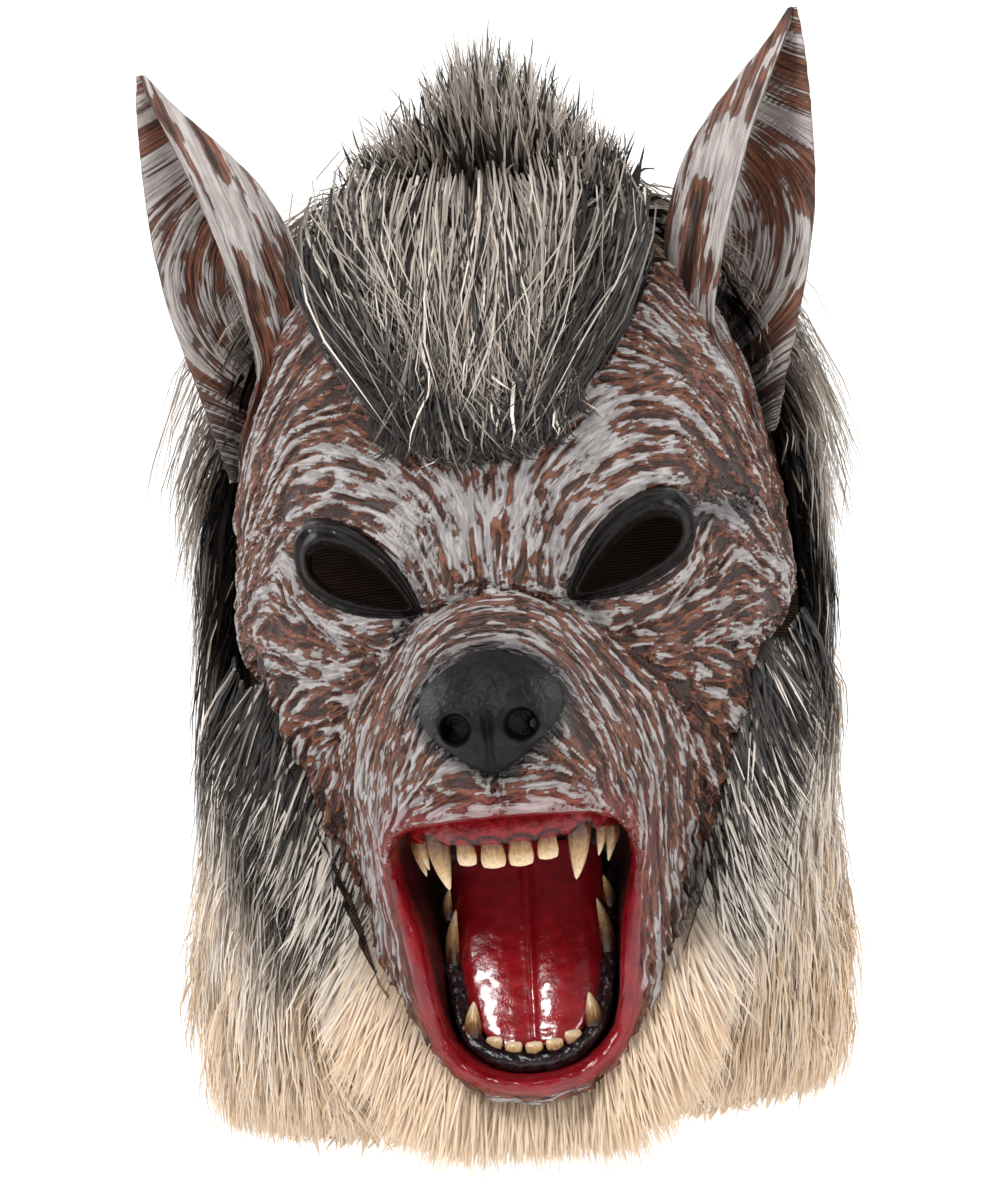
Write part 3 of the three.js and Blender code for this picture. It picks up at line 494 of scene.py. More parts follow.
def grid_faces(rows: int, columns: int, wraps: bool) -> Array:
    """Quads between rows of points.

    Args:
        rows: how many rows.
        columns: points in a row.
        wraps: whether a row's last point joins its first.
    Returns:
        The quads' corners.
    """
    row = np.arange(rows - 1)[:, None] * columns
    here = np.arange(columns if wraps else columns - 1)[None, :]
    there = (here + 1) % columns
    corners = [row + here, row + there, row + columns + there, row + columns + here]
    return np.stack([corner.ravel() for corner in corners], axis=1)


CORNERS = np.array([(x, y, z) for x in (0, 1) for y in (0, 1) for z in (0, 1)])
EDGES = [(a, b) for a in range(8) for b in range(a + 1, 8) if np.abs(CORNERS[a] - CORNERS[b]).sum() == 1]


def surface_net(values: Array, low: Array, cell: float) -> Skin:
    """Meshes the zero surface of a field on a grid, with one point in each cell that it crosses.

    Args:
        values: the field on the grid.
        low: the grid's first corner.
        cell: the grid's spacing.
    Returns:
        The surface in quads, facing the positive side.
    """
    inside = values < 0
    size = np.array(values.shape) - 1
    count = np.zeros(size, np.uint8)
    for corner in CORNERS:
        count += inside[tuple(slice(c, c + n) for c, n in zip(corner, size))]
    active = (count > 0) & (count < 8)
    cells = np.argwhere(active)
    index = np.full(active.shape, -1, np.int32)
    index[active] = np.arange(len(cells))
    corners = np.stack([values[tuple((cells + corner).T)] for corner in CORNERS], axis=1)
    total = np.zeros((len(cells), 3))
    hits = np.zeros(len(cells))
    for a, b in EDGES:
        va, vb = corners[:, a], corners[:, b]
        crosses = (va < 0) != (vb < 0)
        share = np.where(crosses, va / np.where(crosses, va - vb, 1), 0)[:, None]
        total += np.where(crosses[:, None], CORNERS[a] + share * (CORNERS[b] - CORNERS[a]), 0)
        hits += crosses
    points = low + cell * (cells + total / hits[:, None])
    faces = [_net_faces(inside, index, axis) for axis in range(3)]
    return Skin(points, np.concatenate(faces))


def _net_faces(inside: Array, index: Array, axis: int) -> Array:
    """Quads across the grid edges that run along one axis.

    Args:
        inside: which grid points lie inside.
        index: each cell's point, or -1.
        axis: the edges' direction.
    Returns:
        The quads' corners.
    """
    first = np.take(inside, np.arange(inside.shape[axis] - 1), axis=axis)
    second = np.take(inside, np.arange(1, inside.shape[axis]), axis=axis)
    edges = np.argwhere(first != second)
    b, c = [other for other in range(3) if other != axis]
    keep = (edges[:, b] > 0) & (edges[:, c] > 0)
    keep &= (edges[:, b] < index.shape[b]) & (edges[:, c] < index.shape[c])
    edges = edges[keep]
    rising = first[tuple(edges.T)]
    step_b = np.eye(3, dtype=int)[b]
    step_c = np.eye(3, dtype=int)[c]
    around = [edges, edges - step_b, edges - step_b - step_c, edges - step_c]
    quads = np.stack([index[tuple(place.T)] for place in around], axis=1)
    if axis == 1:
        rising = ~rising
    quads = np.where(rising[:, None], quads, quads[:, ::-1])
    return quads[(quads >= 0).all(axis=1)]


def cut_away(skin: Skin, keep: Array) -> Skin:
    """Keeps the faces whose points all pass, and drops loose points.

    Args:
        skin: the skin.
        keep: whether each point passes.
    Returns:
        The smaller skin.
    """
    faces = skin.faces[keep[skin.faces].all(axis=1)]
    used = np.unique(faces)
    renumber = np.full(len(skin.points), -1)
    renumber[used] = np.arange(len(used))
    carried = {name: values[used] for name, values in skin.carried.items()}
    return Skin(skin.points[used], renumber[faces], carried)


# The head

# How often a place moves towards the head's surface, and how much of the distance each time
MARCHES, MARCH_SHARE = 45, 0.8


@dataclass(frozen=True)
class Form:
    """One ellipsoid of the head: its middle and radii as shares of the head's sizes, and its turns."""

    across: float
    along: float
    snout: float
    down: float
    wide: float
    deep: float
    tall: float
    blend: float = 0.0
    yaw: float = 0.0
    roll: float = 0.0
    pitch: float = 0.0


def turned(first: Array, second: Array, degrees: float) -> tuple[Array, Array]:
    """Turns two coordinates about the third."""
    c, s = math.cos(math.radians(degrees)), math.sin(math.radians(degrees))
    return first * c + second * s, second * c - first * s


@dataclass(frozen=True)
class Head:
    """The sculpted head as a field of distances, and the ways to find a place on it."""

    width: float = 208.0
    depth: float = 236.0
    face: float = 338.0
    hem: float = 14.0
    snout: float = 70.0
    wall: float = 2.6
    forms: tuple[Form, ...] = (
        Form(0, 0.07, 0, 0.295, 0.93, 1.0, 0.303),
        Form(0, 0.03, 0, 0.76, 0.99, 0.8, 0.68, 0.3),
        Form(0, -0.17, 0, 0.47, 1.03, 0.84, 0.44, 0.35),
        Form(0.42, -0.8, 0, 0.345, 0.34, 0.15, 0.045, 0.18, yaw=32, roll=26),
        Form(0, -0.92, 0.25, 0.535, 0.27, 0.44, 0.075, 0.38, pitch=20),
        Form(0, -0.82, 0.25, 0.635, 0.47, 0.52, 0.11, 0.44, pitch=8),
        Form(0, -0.93, 0.68, 0.585, 0.25, 0.17, 0.07, 0.23),
        Form(0, -0.92, 0.34, 0.69, 0.44, 0.38, 0.06, 0.23),
        Form(0.36, -0.66, 0, 0.77, 0.2, 0.44, 0.17, 0.33),
        Form(0, -0.8, 0, 0.855, 0.49, 0.45, 0.16, 0.25),
        Form(0, -0.93, 0, 0.948, 0.34, 0.26, 0.052, 0.17),
    )
    socket: Form = Form(0.49, -0.98, 0, 0.424, 0.25, 0.1, 0.034, 0.12, yaw=25, roll=30)

    @property
    def half_width(self) -> float:
        """Half the width across the cheekbones."""
        return self.width / 2

    @property
    def half_depth(self) -> float:
        """Half the depth of the cranium."""
        return self.depth / 2

    @property
    def hood(self) -> float:
        """From the crown to the hem."""
        return self.face + self.hem

    @property
    def reach(self) -> float:
        """From the middle of the head to the nose."""
        return self.half_depth + self.snout

    @property
    def axis_y(self) -> float:
        """Where the rays start from, front to back."""
        return self.forms[0].along * self.half_depth

    @property
    def dome(self) -> float:
        """The drop at which the rays turn level."""
        return self.forms[0].down * self.face

    def _form(self, form: Form, points: Array) -> Array:
        """Distance from places to one form."""
        dx = np.abs(points[:, 0]) - form.across * self.half_width
        dy = points[:, 1] - form.along * self.half_depth + form.snout * self.snout
        dz = points[:, 2] + form.down * self.face
        if form.yaw:
            dx, dy = turned(dx, dy, form.yaw)
        if form.roll:
            dx, dz = turned(dx, dz, form.roll)
        if form.pitch:
            dy, dz = turned(dy, dz, form.pitch)
        a, b, c = form.wide * self.half_width, form.deep * self.half_depth, form.tall * self.face
        near = np.sqrt((dx / a) ** 2 + (dy / b) ** 2 + (dz / c) ** 2)
        slope = np.sqrt((dx / a**2) ** 2 + (dy / b**2) ** 2 + (dz / c**2) ** 2)
        return near * (near - 1) / np.maximum(slope, 1e-9)

    def field(self, points: Array) -> Array:
        """Distance from places to the head, negative inside."""
        total = self._form(self.forms[0], points)
        for form in self.forms[1:]:
            total = blended_min(total, self._form(form, points), form.blend * self.half_width)
        hollow = self._form(self.socket, points)
        return -blended_min(-total, hollow, self.socket.blend * self.half_width)

    def normals(self, points: Array) -> Array:
        """The directions out of the head at places."""
        steps = 0.5 * np.eye(3)
        slope = np.stack([self.field(points + step) - self.field(points - step) for step in steps], axis=1)
        return unit(slope)

    def on_head(self, turns: Array, drops: Array, height: Union[float, Array] = 0.0) -> Array:
        """The outermost points at a height over the head.

        Args:
            turns: degrees round the head, 0 at the face and 90 at +X.
            drops: how far below the crown.
            height: how far off the surface.
        Returns:
            The points.
        """
        rise = np.radians(np.clip(1 - drops / self.dome, 0, 1) * 90)
        turn = np.radians(turns)
        way = np.stack([np.sin(turn) * np.cos(rise), -np.cos(turn) * np.cos(rise), np.sin(rise)], axis=1)
        start = np.stack([0 * drops, self.axis_y + 0 * drops, -np.maximum(drops, self.dome)], axis=1)
        far = np.full(len(turns), 2.4 * self.half_depth)
        for _ in range(MARCHES):
            far -= (self.field(start + way * far[:, None]) - height) * MARCH_SHARE
        return start + way * far[:, None]

    def front_of(self, x: Array, z: Array, height: Union[float, Array] = 0.0) -> Array:
        """The front of the head at places in the front view."""
        y = np.full(len(x), -2 * self.half_depth)
        for _ in range(MARCHES):
            y += (self.field(np.stack([x, y, z], axis=1)) - height) * MARCH_SHARE
        return y

    def outline(self, rows: Sequence[tuple[float, float]], half: float, tall: float, top: float) -> Array:
        """A mirrored outline in the front view.

        Args:
            rows: its right half from top to bottom, as shares.
            half: the size that across is a share of.
            tall: the size that down is a share of.
            top: how far below the crown it starts.
        Returns:
            Its corners.
        """
        right = [(across * half, -top - down * tall) for across, down in rows]
        left = [(-x, z) for x, z in reversed(right) if x > 0]
        return np.array(right + left)

    def spots(self, rows: Sequence[tuple[float, float]]) -> Array:
        """Places in the front view from shares across and down."""
        return np.array([(across * self.half_width, -down * self.face) for across, down in rows])


@dataclass
class HeadMap:
    """The head's surface kept as a table over turn and drop, which hair is combed along."""

    head: Head
    turn_step: float = 3.0
    drop_step: float = 4.0
    longest: float = 420.0

    def __post_init__(self) -> None:
        """Fills the table."""
        self.turns = np.arange(-180, 180 + self.turn_step, self.turn_step)
        self.drops = np.arange(0, self.longest + self.drop_step, self.drop_step)
        turn, drop = np.meshgrid(self.turns, self.drops, indexing="ij")
        flat = self.head.on_head(turn.ravel(), drop.ravel())
        self.points = flat.reshape(*turn.shape, 3)
        self.outward = self.head.normals(flat).reshape(*turn.shape, 3)

    def read(self, turns: Array, drops: Array) -> tuple[Array, Array]:
        """Reads the surface.

        Args:
            turns: degrees round the head.
            drops: how far below the crown.
        Returns:
            Points and outward directions.
        """
        i = ((turns + 180) % 360) / self.turn_step
        j = np.clip(drops / self.drop_step, 0, len(self.drops) - 1.001)
        return read_grid(self.points, i, j), unit(read_grid(self.outward, i, j))


# The outlines and creases of the face, as shares across half the head and down the face

FACE_EDGE = (
    (0, 0.302), (0.14, 0.296), (0.29, 0.27), (0.44, 0.213), (0.56, 0.155), (0.64, 0.1), (1.15, 0.1),
    (1.15, 0.46), (0.95, 0.535), (0.87, 0.6), (0.73, 0.716), (0.55, 0.852), (0.4, 0.94), (0.25, 1.0),
    (0.12, 1.018), (0, 1.022),
)
MOUTH_EDGE = (
    (0, 0), (0.25, 0.002), (0.5, 0.01), (0.76, 0.025), (0.93, 0.06), (1.0, 0.12), (1.0, 0.22),
    (0.95, 0.32), (0.88, 0.43), (0.84, 0.54), (0.81, 0.64), (0.78, 0.74), (0.71, 0.845), (0.58, 0.92),
    (0.4, 0.97), (0.2, 0.993), (0, 1),
)


@dataclass(frozen=True)
class EyeShape:
    """The outline of the eye holes."""

    length: float = 46.0
    height: float = 21.0
    tilt: float = 30.0
    offset: float = 50.5
    drop: float = 144.0
    pinch: float = 0.34
    fullness: float = 0.82

    def outline(self, side: int, inset: float, count: int = 72) -> Array:
        """The eye's outline in the front view.

        Args:
            side: 1 for the viewer's right.
            inset: how far inside the hole's edge.
            count: how many corners.
        Returns:
            Its corners.
        """
        turn = np.linspace(0, 2 * math.pi, count, endpoint=False)
        along = (self.length / 2 - inset) * np.cos(turn)
        pinch = 1 - self.pinch + self.pinch * np.cos(turn)
        up = (self.height / 2 - inset) * np.sin(turn) / self.fullness * pinch
        c, s = math.cos(math.radians(self.tilt)), math.sin(math.radians(self.tilt))
        return np.stack([side * (self.offset + along * c - up * s), -self.drop + along * s + up * c],
                        axis=1)


@dataclass(frozen=True)
class MouthShape:
    """The outline of the open mouth."""

    half: float = 42.0
    height: float = 98.0
    drop: float = 230.0

    def outline(self, head: Head) -> Array:
        """The mouth's outline in the front view."""
        return head.outline(MOUTH_EDGE, self.half, self.height, self.drop)


@dataclass(frozen=True)
class Crease:
    """A groove or ridge that runs along a line on both sides of the face."""

    rise: float
    width: float
    line: tuple[tuple[float, float], ...]


CREASES = (
    Crease(-2.2, 2.4, ((0, 0.335), (0, 0.438))),
    Crease(2.0, 7.0, ((0.11, 0.385), (0.14, 0.435))),
    Crease(-2.6, 2.6, ((0, 0.447), (0.1, 0.452), (0.2, 0.466), (0.3, 0.47))),
    Crease(-1.2, 2.0, ((0.2, 0.35), (0.235, 0.4), (0.24, 0.44))),
    Crease(-2.0, 4.0, ((0.31, 0.478), (0.45, 0.525), (0.58, 0.568), (0.64, 0.62), (0.66, 0.7))),
    Crease(-1.3, 1.7, ((0, 0.628), (0, 0.684))),
    Crease(2.2, 8.0, ((0.26, 0.405), (0.4, 0.368), (0.55, 0.352), (0.7, 0.372))),
    Crease(1.2, 4.0, ((0.4, 0.497), (0.58, 0.478), (0.72, 0.44))),
    Crease(-1.2, 2.5, ((0.45, 0.505), (0.6, 0.495), (0.76, 0.455))),
    Crease(-1.4, 3.0, ((0.66, 0.365), (0.8, 0.36), (0.9, 0.375))),
    Crease(1.6, 5.0, ((0.7, 0.5), (0.85, 0.49), (0.98, 0.47))),
    Crease(1.5, 5.0, ((0.68, 0.56), (0.8, 0.57), (0.9, 0.6))),
    Crease(-1.3, 3.0, ((0.68, 0.53), (0.82, 0.535), (0.96, 0.52))),
    Crease(-1.3, 3.0, ((0.64, 0.6), (0.74, 0.63), (0.84, 0.66))),
    Crease(1.4, 4.0, ((0.64, 0.66), (0.7, 0.7), (0.76, 0.71))),
    Crease(-1.2, 2.6, ((0.6, 0.74), (0.62, 0.8), (0.58, 0.84))),
    Crease(1.2, 5.0, ((0.34, 0.6), (0.36, 0.64), (0.3, 0.665))),
)

# How the carved hair lies, in degrees from the level: anticlockwise on the viewer's right, and mirrored on
# the left
HAIR_FLOW = (
    (0.02, 0.33, 90), (0.02, 0.4, 90), (0.02, 0.44, 90), (0.1, 0.35, 75), (0.1, 0.42, 82), (0.2, 0.41, 72),
    (0.24, 0.31, 50), (0.26, 0.37, 55), (0.3, 0.44, 62), (0.12, 0.31, 62), (0.42, 0.28, 32),
    (0.42, 0.34, 30), (0.4, 0.4, 40), (0.5, 0.37, 22), (0.5, 0.2, 2), (0.55, 0.16, -12), (0.62, 0.25, 8),
    (0.62, 0.32, 6), (0.66, 0.36, -5), (0.68, 0.19, -28), (0.8, 0.26, -28), (0.8, 0.33, -24),
    (0.86, 0.4, -22), (0.95, 0.3, -40), (1.0, 0.38, -25), (0.74, 0.42, 55), (0.8, 0.46, 28),
    (0.62, 0.49, 28), (0.45, 0.5, 10), (0.38, 0.515, -34), (0.52, 0.52, -6), (0.7, 0.52, 4),
    (0.92, 0.47, -14), (1.0, 0.5, -22), (0.5, 0.55, -38), (0.62, 0.545, -8), (0.8, 0.545, -12),
    (0.72, 0.58, -22), (0.9, 0.58, -55), (0.6, 0.6, -48), (0.8, 0.62, -45), (0.63, 0.645, -62),
    (0.72, 0.68, -50), (0.62, 0.72, -68), (0.6, 0.78, -58), (0.52, 0.85, -62), (0.03, 0.465, 0),
    (0.12, 0.47, -16), (0.22, 0.485, -35), (0.03, 0.495, 0), (0.14, 0.51, -28), (0.22, 0.53, -45),
    (0.3, 0.54, -48), (0.4, 0.57, -55), (0.33, 0.59, -50), (0.47, 0.62, -70), (0.42, 0.66, -66),
    (0.3, 0.63, -48), (0.15, 0.655, -5), (0.05, 0.65, 5), (0.25, 0.66, -25), (0.12, 0.675, 0),
    (0.35, 0.69, -38), (0.5, 0.69, -80), (0.5, 0.75, -86), (0.45, 0.82, 88), (0.4, 0.9, 72),
    (0.3, 0.96, 50), (0.1, 0.99, 10),
)

# Where the grey paint is thin or thick: across, down, reach in millimetres and amount
PAINT_PATCHES = (
    (0.2, 0.37, 20, 0.5), (0.45, 0.33, 26, 0.3), (0.3, 0.43, 14, 0.7), (0.95, 0.33, 20, -0.5),
    (0.98, 0.4, 18, -0.4), (0.62, 0.16, 22, -0.3), (0.8, 0.3, 20, -0.25), (0.02, 0.38, 5, -0.8),
    (0.7, 0.47, 16, 0.3), (0.75, 0.6, 26, -0.35), (0.65, 0.72, 22, -0.35), (0.22, 0.5, 12, -0.15),
    (0.42, 0.55, 18, -0.35), (0.15, 0.67, 14, 0.35), (0.4, 0.66, 14, 0.15), (0.98, 0.52, 14, 0.1),
    (0.12, 0.42, 5, -0.5), (0.05, 0.47, 10, -0.1), (0.6, 0.52, 14, 0.2),
)


@dataclass
class Flow:
    """The direction of the carved hair over the front view, kept on a grid."""

    head: Head
    step: float = 2.0
    softness: float = 4.0

    def __post_init__(self) -> None:
        """Blends the guides onto the grid, as doubled angles."""
        rows = np.array(HAIR_FLOW)
        places = self.head.spots(rows[:, :2])
        twice = np.radians(2 * rows[:, 2])
        x = np.arange(0, 1.2 * self.head.half_width, self.step)
        z = np.arange(-1.06 * self.head.face, 0, self.step)
        grid = np.stack(np.meshgrid(x, z, indexing="ij"), axis=-1)
        gap = ((grid[:, :, None, :] - places) ** 2).sum(axis=-1) + self.softness**2
        weight = gap**-2.0
        self.table = np.stack([(weight * f(twice)).sum(axis=-1) for f in (np.cos, np.sin)], axis=-1)
        self.table = unit(self.table)
        self.low_z = z[0]

    def doubled(self, points: Array) -> Array:
        """The doubled angle's cosine and sine at places."""
        i = np.clip(np.abs(points[:, 0]) / self.step, 0, self.table.shape[0] - 1.001)
        j = np.clip((points[:, 2] - self.low_z) / self.step, 0, self.table.shape[1] - 1.001)
        both = read_grid(self.table, i, j)
        both[:, 1] *= np.where(points[:, 0] < 0, -1, 1)
        return unit(both)

    def along(self, points: Array, outward: Array) -> Array:
        """The direction of the hair, flat on the surface."""
        both = self.doubled(points)
        angle = 0.5 * np.arctan2(both[:, 1], both[:, 0])
        way = np.stack([np.cos(angle), 0 * angle, np.sin(angle)], axis=1)
        return unit(way - (way * outward).sum(axis=1, keepdims=True) * outward)

    def streaks(self, points: Array, outward: Array, width: float, length: float, seed: int) -> Array:
        """Noise drawn out along the hair.

        Args:
            points: places on the face.
            outward: the surface's directions.
            width: how wide the streaks are.
            length: how far each way they run.
            seed: which noise.
        Returns:
            One number per place, with a spread of 1.
        """
        total = value_noise(points, width, seed)
        pace = width * 0.8
        first = self.along(points, outward)
        for sign in (-1, 1):
            place, way = points.copy(), first * sign
            for _ in range(max(1, int(length / pace))):
                place = place + way * pace
                ahead = self.along(place, outward)
                way = ahead * np.sign((ahead * way).sum(axis=1, keepdims=True) + 1e-9)
                total += value_noise(place, width, seed)
        return (total - total.mean()) / total.std()


def point_normals(points: Array, faces: Array) -> Array:
    """The directions out of a skin at its points."""
    across = points[faces[:, 2]] - points[faces[:, 0]]
    along = points[faces[:, -1]] - points[faces[:, 1]]
    flat = np.cross(across, along)
    total = np.zeros_like(points)
    for corner in faces.T:
        for axis in range(3):
            total[:, axis] += np.bincount(corner, weights=flat[:, axis], minlength=len(points))
    return unit(total)


def faced_out(skin: Skin, middles: Array) -> Array:
    """Turns a skin's faces away from its middle.

    Args:
        skin: the skin, changed in place.
        middles: the middle that each point lies round.
    Returns:
        The directions out of it at its points.
    """
    outward = point_normals(skin.points, skin.faces)
    if ((skin.points - middles) * outward).sum() < 0:
        skin.faces = skin.faces[:, ::-1]
        outward = -outward
    return outward


# Finishes


@dataclass(frozen=True)
class LatexFinish:
    """Matt latex: grey brushed over the raised hair, red-brown left in the grooves, and painted shade laid
    into the grooves, along the paint's edges and round the eyes and nose.
    """

    grey: Colour = (0.27, 0.25, 0.247)
    pale: Colour = (0.43, 0.405, 0.4)
    brown: Colour = (0.125, 0.046, 0.026)
    rust: Colour = (0.235, 0.082, 0.042)
    # Painted shade colour, for the deepest grooves and the dark lines beside the carved strands
    shade: Colour = (0.03, 0.014, 0.011)
    # Painted shade colour, laid round the eye holes and the nose, under the brows and at the ears' roots
    soot: Colour = (0.022, 0.018, 0.018)
    blush: Colour = (0.27, 0.022, 0.03)
    lip: Colour = (0.15, 0.002, 0.005)
    lip_light: Colour = (0.24, 0.008, 0.014)
    inside: Colour = (0.09, 0.045, 0.025)
    directions: int = 8

    def material(self, name: str, strands: Callable[[Shader], Channel]) -> bpy.types.Material:
        """Makes the material.

        Args:
            name: its name.
            strands: gives the fine strands, about 0.
        Returns:
            The material.
        """
        shader = Shader(name)
        where = shader.position()
        fine = strands(shader)
        streak = shader.attribute("streak")
        paint = shader.attribute("paint")
        blotch = shader.noise(where, 9.0, 3.0, 0.6)
        value = streak + fine * 2.8 + paint + (blotch - 0.5) * 0.5
        cover = value.step(-0.2, 0.2)
        base = shader.mix((fine * 3.0 + 0.5 + (blotch - 0.5)).step(0.2, 0.95), self.brown, self.rust)
        # Painted shade where the grooves are deepest and the grey paint thinnest
        base = shader.mix(value.step(-0.5, -1.5), base, self.shade)
        brushed = shader.mix((fine * 3.0 + blotch).step(0.35, 0.85), self.grey, self.pale)
        colour = shader.mix(cover * 0.94, base, brushed)
        # Painted shadow: a thin dark line where the grey paint meets the brown, beside the raised strands
        edge = (cover * (1 - cover) * 4.0) * 0.7
        colour = shader.mix(edge, colour, self.shade)
        # Painted shade in the grooves between the carved strands, over grey and brown alike
        groove = (streak * 0.8 + fine * 4.0).step(-0.35, -1.15)
        colour = shader.mix(groove * 0.75, colour, self.shade)
        blush = shader.attribute("blush")
        colour = shader.mix(blush * (1 - cover * 0.45), colour, self.blush)
        lip = shader.attribute("lip")
        colour = shader.mix(lip, colour, shader.mix(blotch.step(0.3, 0.7), self.lip, self.lip_light))
        # Painted shade from the mesh's numbers, a little weaker where the grey paint covers
        soot = (shader.attribute("soot") * (1.15 - cover * 0.35)).step(0.1, 0.95)
        colour = shader.mix(soot, colour, self.soot)
        colour = shader.mix(shader.attribute("inner"), colour, self.inside)
        height = ((streak + fine * 2.8) * 0.3 + 0.5).step(0.0, 1.0) * (1 - lip * 0.8)
        wrinkle = shader.noise(where, 1.6, 3.0, 0.6)
        normal = shader.bump(wrinkle, 0.16, shader.bump(height, 2.0))
        rough = 0.56 + cover * 0.1 - lip * 0.42 - soot * 0.2 + (blotch - 0.5) * 0.12
        return shader.finish(base_color=colour, roughness=rough, normal=normal, specular_ior_level=0.45)

    def combed(self, shader: Shader) -> Channel:
        """Fine strands along the face's hair: noise stretched in a fan of directions.

        Args:
            shader: the material.
        Returns:
            The strands, about 0.
        """
        x, y, z = shader.split(shader.position())
        even, odd, _ = shader.split(shader.attribute_vector("flow"))
        total: Number = 0.0
        for k in range(self.directions):
            turn = math.pi * k / self.directions
            c, s = math.cos(turn), math.sin(turn)
            across = (z * c - x * s) * (1 / 1.25)
            along = (x * c + z * s) * (1 / 13.0)
            place = shader.join(across, along, y * (1 / 5.0) + k * 0.013)
            node = shader.node("ShaderNodeTexNoise", {}, {"Vector": place, "Scale": 1000.0, "Detail": 1.0})
            likeness = (even * math.cos(2 * turn) + odd * math.sin(2 * turn)).at_least(0.0) ** 6
            total = likeness * (Channel(shader.tree, node.outputs["Fac"]) - 0.5) + total
        return total * 0.8

    def drawn(self, shader: Shader) -> Channel:
        """Fine strands that run up an ear, from the places carried by its points.

        Args:
            shader: the material.
        Returns:
            The strands, about 0.
        """
        across, along, depth = shader.split(shader.attribute_vector("strand"))
        place = shader.join(across * (1 / 1.9), along * (1 / 17.0), depth)
        node = shader.node("ShaderNodeTexNoise", {}, {"Vector": place, "Scale": 1.0, "Detail": 2.0})
        return Channel(shader.tree, node.outputs["Fac"]) - 0.5


@dataclass(frozen=True)
class GlossFinish:
    """A smooth painted surface with soft blotches and fine pits."""

    deep: Colour
    light: Colour
    rough: float
    blotch: float = 4.0
    pits: float = 0.9
    pit_depth: float = 0.08
    coat: float = 0.0
    specular: float = 0.5

    def material(self, name: str) -> bpy.types.Material:
        """Returns the material."""
        shader = Shader(name)
        where = shader.position()
        blotch = shader.noise(where, self.blotch, 3.0, 0.6)
        pits = shader.noise(where, self.pits, 2.0, 0.6)
        colour = shader.mix(blotch.step(0.35, 0.7), self.deep, self.light)
        # Darker where the mesh carries deep: painted shade inside the nostrils, and the black painted rings
        # round the teeth's necks on the gums
        colour = shader.mix(shader.attribute("deep"), colour, (0.002, 0.0015, 0.0015))
        rough = self.rough + (pits - 0.5) * 0.16
        normal = shader.bump(blotch, self.pit_depth * 3, shader.bump(pits, self.pit_depth))
        made = shader.finish(base_color=colour, roughness=rough, normal=normal,
                             specular_ior_level=self.specular)
        shader.surface.inputs["Coat Weight"].default_value = self.coat
        shader.surface.inputs["Coat Roughness"].default_value = 0.08
        return made


@dataclass(frozen=True)
class ToothFinish:
    """Enamel, stained brown at the root and cream at the tip."""

    root: Colour = (0.16, 0.065, 0.022)
    middle: Colour = (0.42, 0.25, 0.1)
    tip: Colour = (0.72, 0.56, 0.36)

    def material(self, name: str) -> bpy.types.Material:
        """Returns the material."""
        shader = Shader(name)
        where = shader.position()
        x, y, z = shader.split(where)
        grain = shader.noise(shader.join(x, y, z * 0.2), 0.7, 2.0)
        blotch = shader.noise(where, 2.0, 2.0)
        along = shader.attribute("along") + (grain - 0.5) * 0.45 + (blotch - 0.5) * 0.3
        stops = [(0.0, (0.035, 0.012, 0.006)), (0.28, self.root), (0.6, self.middle), (0.95, self.tip),
                 (1.0, self.tip)]
        normal = shader.bump(grain, 0.08)
        return shader.finish(base_color=shader.ramp(along, stops), roughness=0.22 + blotch * 0.12,
                             normal=normal)


@dataclass(frozen=True)
class HairFinish:
    """Hair whose colour goes by its tone, carried as one way of the bake map, and its length, the other."""

    roots: tuple[tuple[float, Colour], ...] = (
        (0.0, (0.006, 0.005, 0.005)), (0.3, (0.008, 0.007, 0.006)), (0.5, (0.05, 0.041, 0.034)),
        (0.62, (0.2, 0.165, 0.135)), (0.7, (0.4, 0.335, 0.27)), (0.85, (0.42, 0.27, 0.15)),
        (1.0, (0.5, 0.33, 0.19)),
    )
    tips: tuple[tuple[float, Colour], ...] = (
        (0.0, (0.012, 0.01, 0.009)), (0.2, (0.03, 0.025, 0.022)), (0.32, (0.28, 0.235, 0.2)),
        (0.5, (0.5, 0.43, 0.37)), (0.7, (0.8, 0.72, 0.63)), (0.85, (0.74, 0.55, 0.37)),
        (1.0, (0.84, 0.68, 0.5)),
    )

    def material(self, name: str) -> bpy.types.Material:
        """Returns the material."""
        shader = Shader(name)
        node = shader.node("ShaderNodeUVMap", {"uv_map": BAKE_MAP}, {})
        tone, along, _ = shader.split(node.outputs["UV"])
        band = shader.node("ShaderNodeTexNoise", {},
                           {"Vector": shader.join(tone * 40.0, along * 3.0, 0.0), "Scale": 1.0})
        wander = Channel(shader.tree, band.outputs["Fac"]) - 0.5
        root = shader.ramp(tone + wander * 0.04, self.roots)
        tip = shader.ramp(tone + wander * 0.06, self.tips)
        share = (along + wander * 0.5).step(0.08, 0.65)
        return shader.finish(base_color=shader.mix(share, root, tip), roughness=0.5,
                             specular_ior_level=0.35)


@dataclass(frozen=True)
class KnitFinish:
    """The hood's knitted backing."""

    dark: Colour = (0.09, 0.055, 0.035)
    light: Colour = (0.26, 0.16, 0.1)

    def material(self, name: str) -> bpy.types.Material:
        """Returns the material."""
        shader = Shader(name)
        where = shader.position()
        loops = shader.node("ShaderNodeTexWave", {"wave_type": "BANDS", "bands_direction": "Z"},
                            {"Vector": where, "Scale": 260.0, "Distortion": 1.5, "Detail": 1.0})
        wave = Channel(shader.tree, loops.outputs["Fac"])
        fuzz = shader.noise(where, 1.1, 3.0, 0.7)
        colour = shader.mix(wave * 0.5 + fuzz * 0.5, self.dark, self.light)
        return shader.finish(base_color=colour, roughness=0.92, normal=shader.bump(wave + fuzz, 0.3))


# Latex face


# Painted shade lines under the brows, below the inner eye corners and above the nose: a line of places
# across and down, its reach, and its strength on the left and on the right
SHADE_LINES = (
    (((0.62, 0.392), (0.78, 0.385), (0.9, 0.388)), 8.0, 0.25, 0.8),
    (((0.28, 0.462), (0.36, 0.49)), 4.5, 0.8, 0.8),
    (((0, 0.485), (0.08, 0.495)), 9.0, 0.5, 0.5),
)


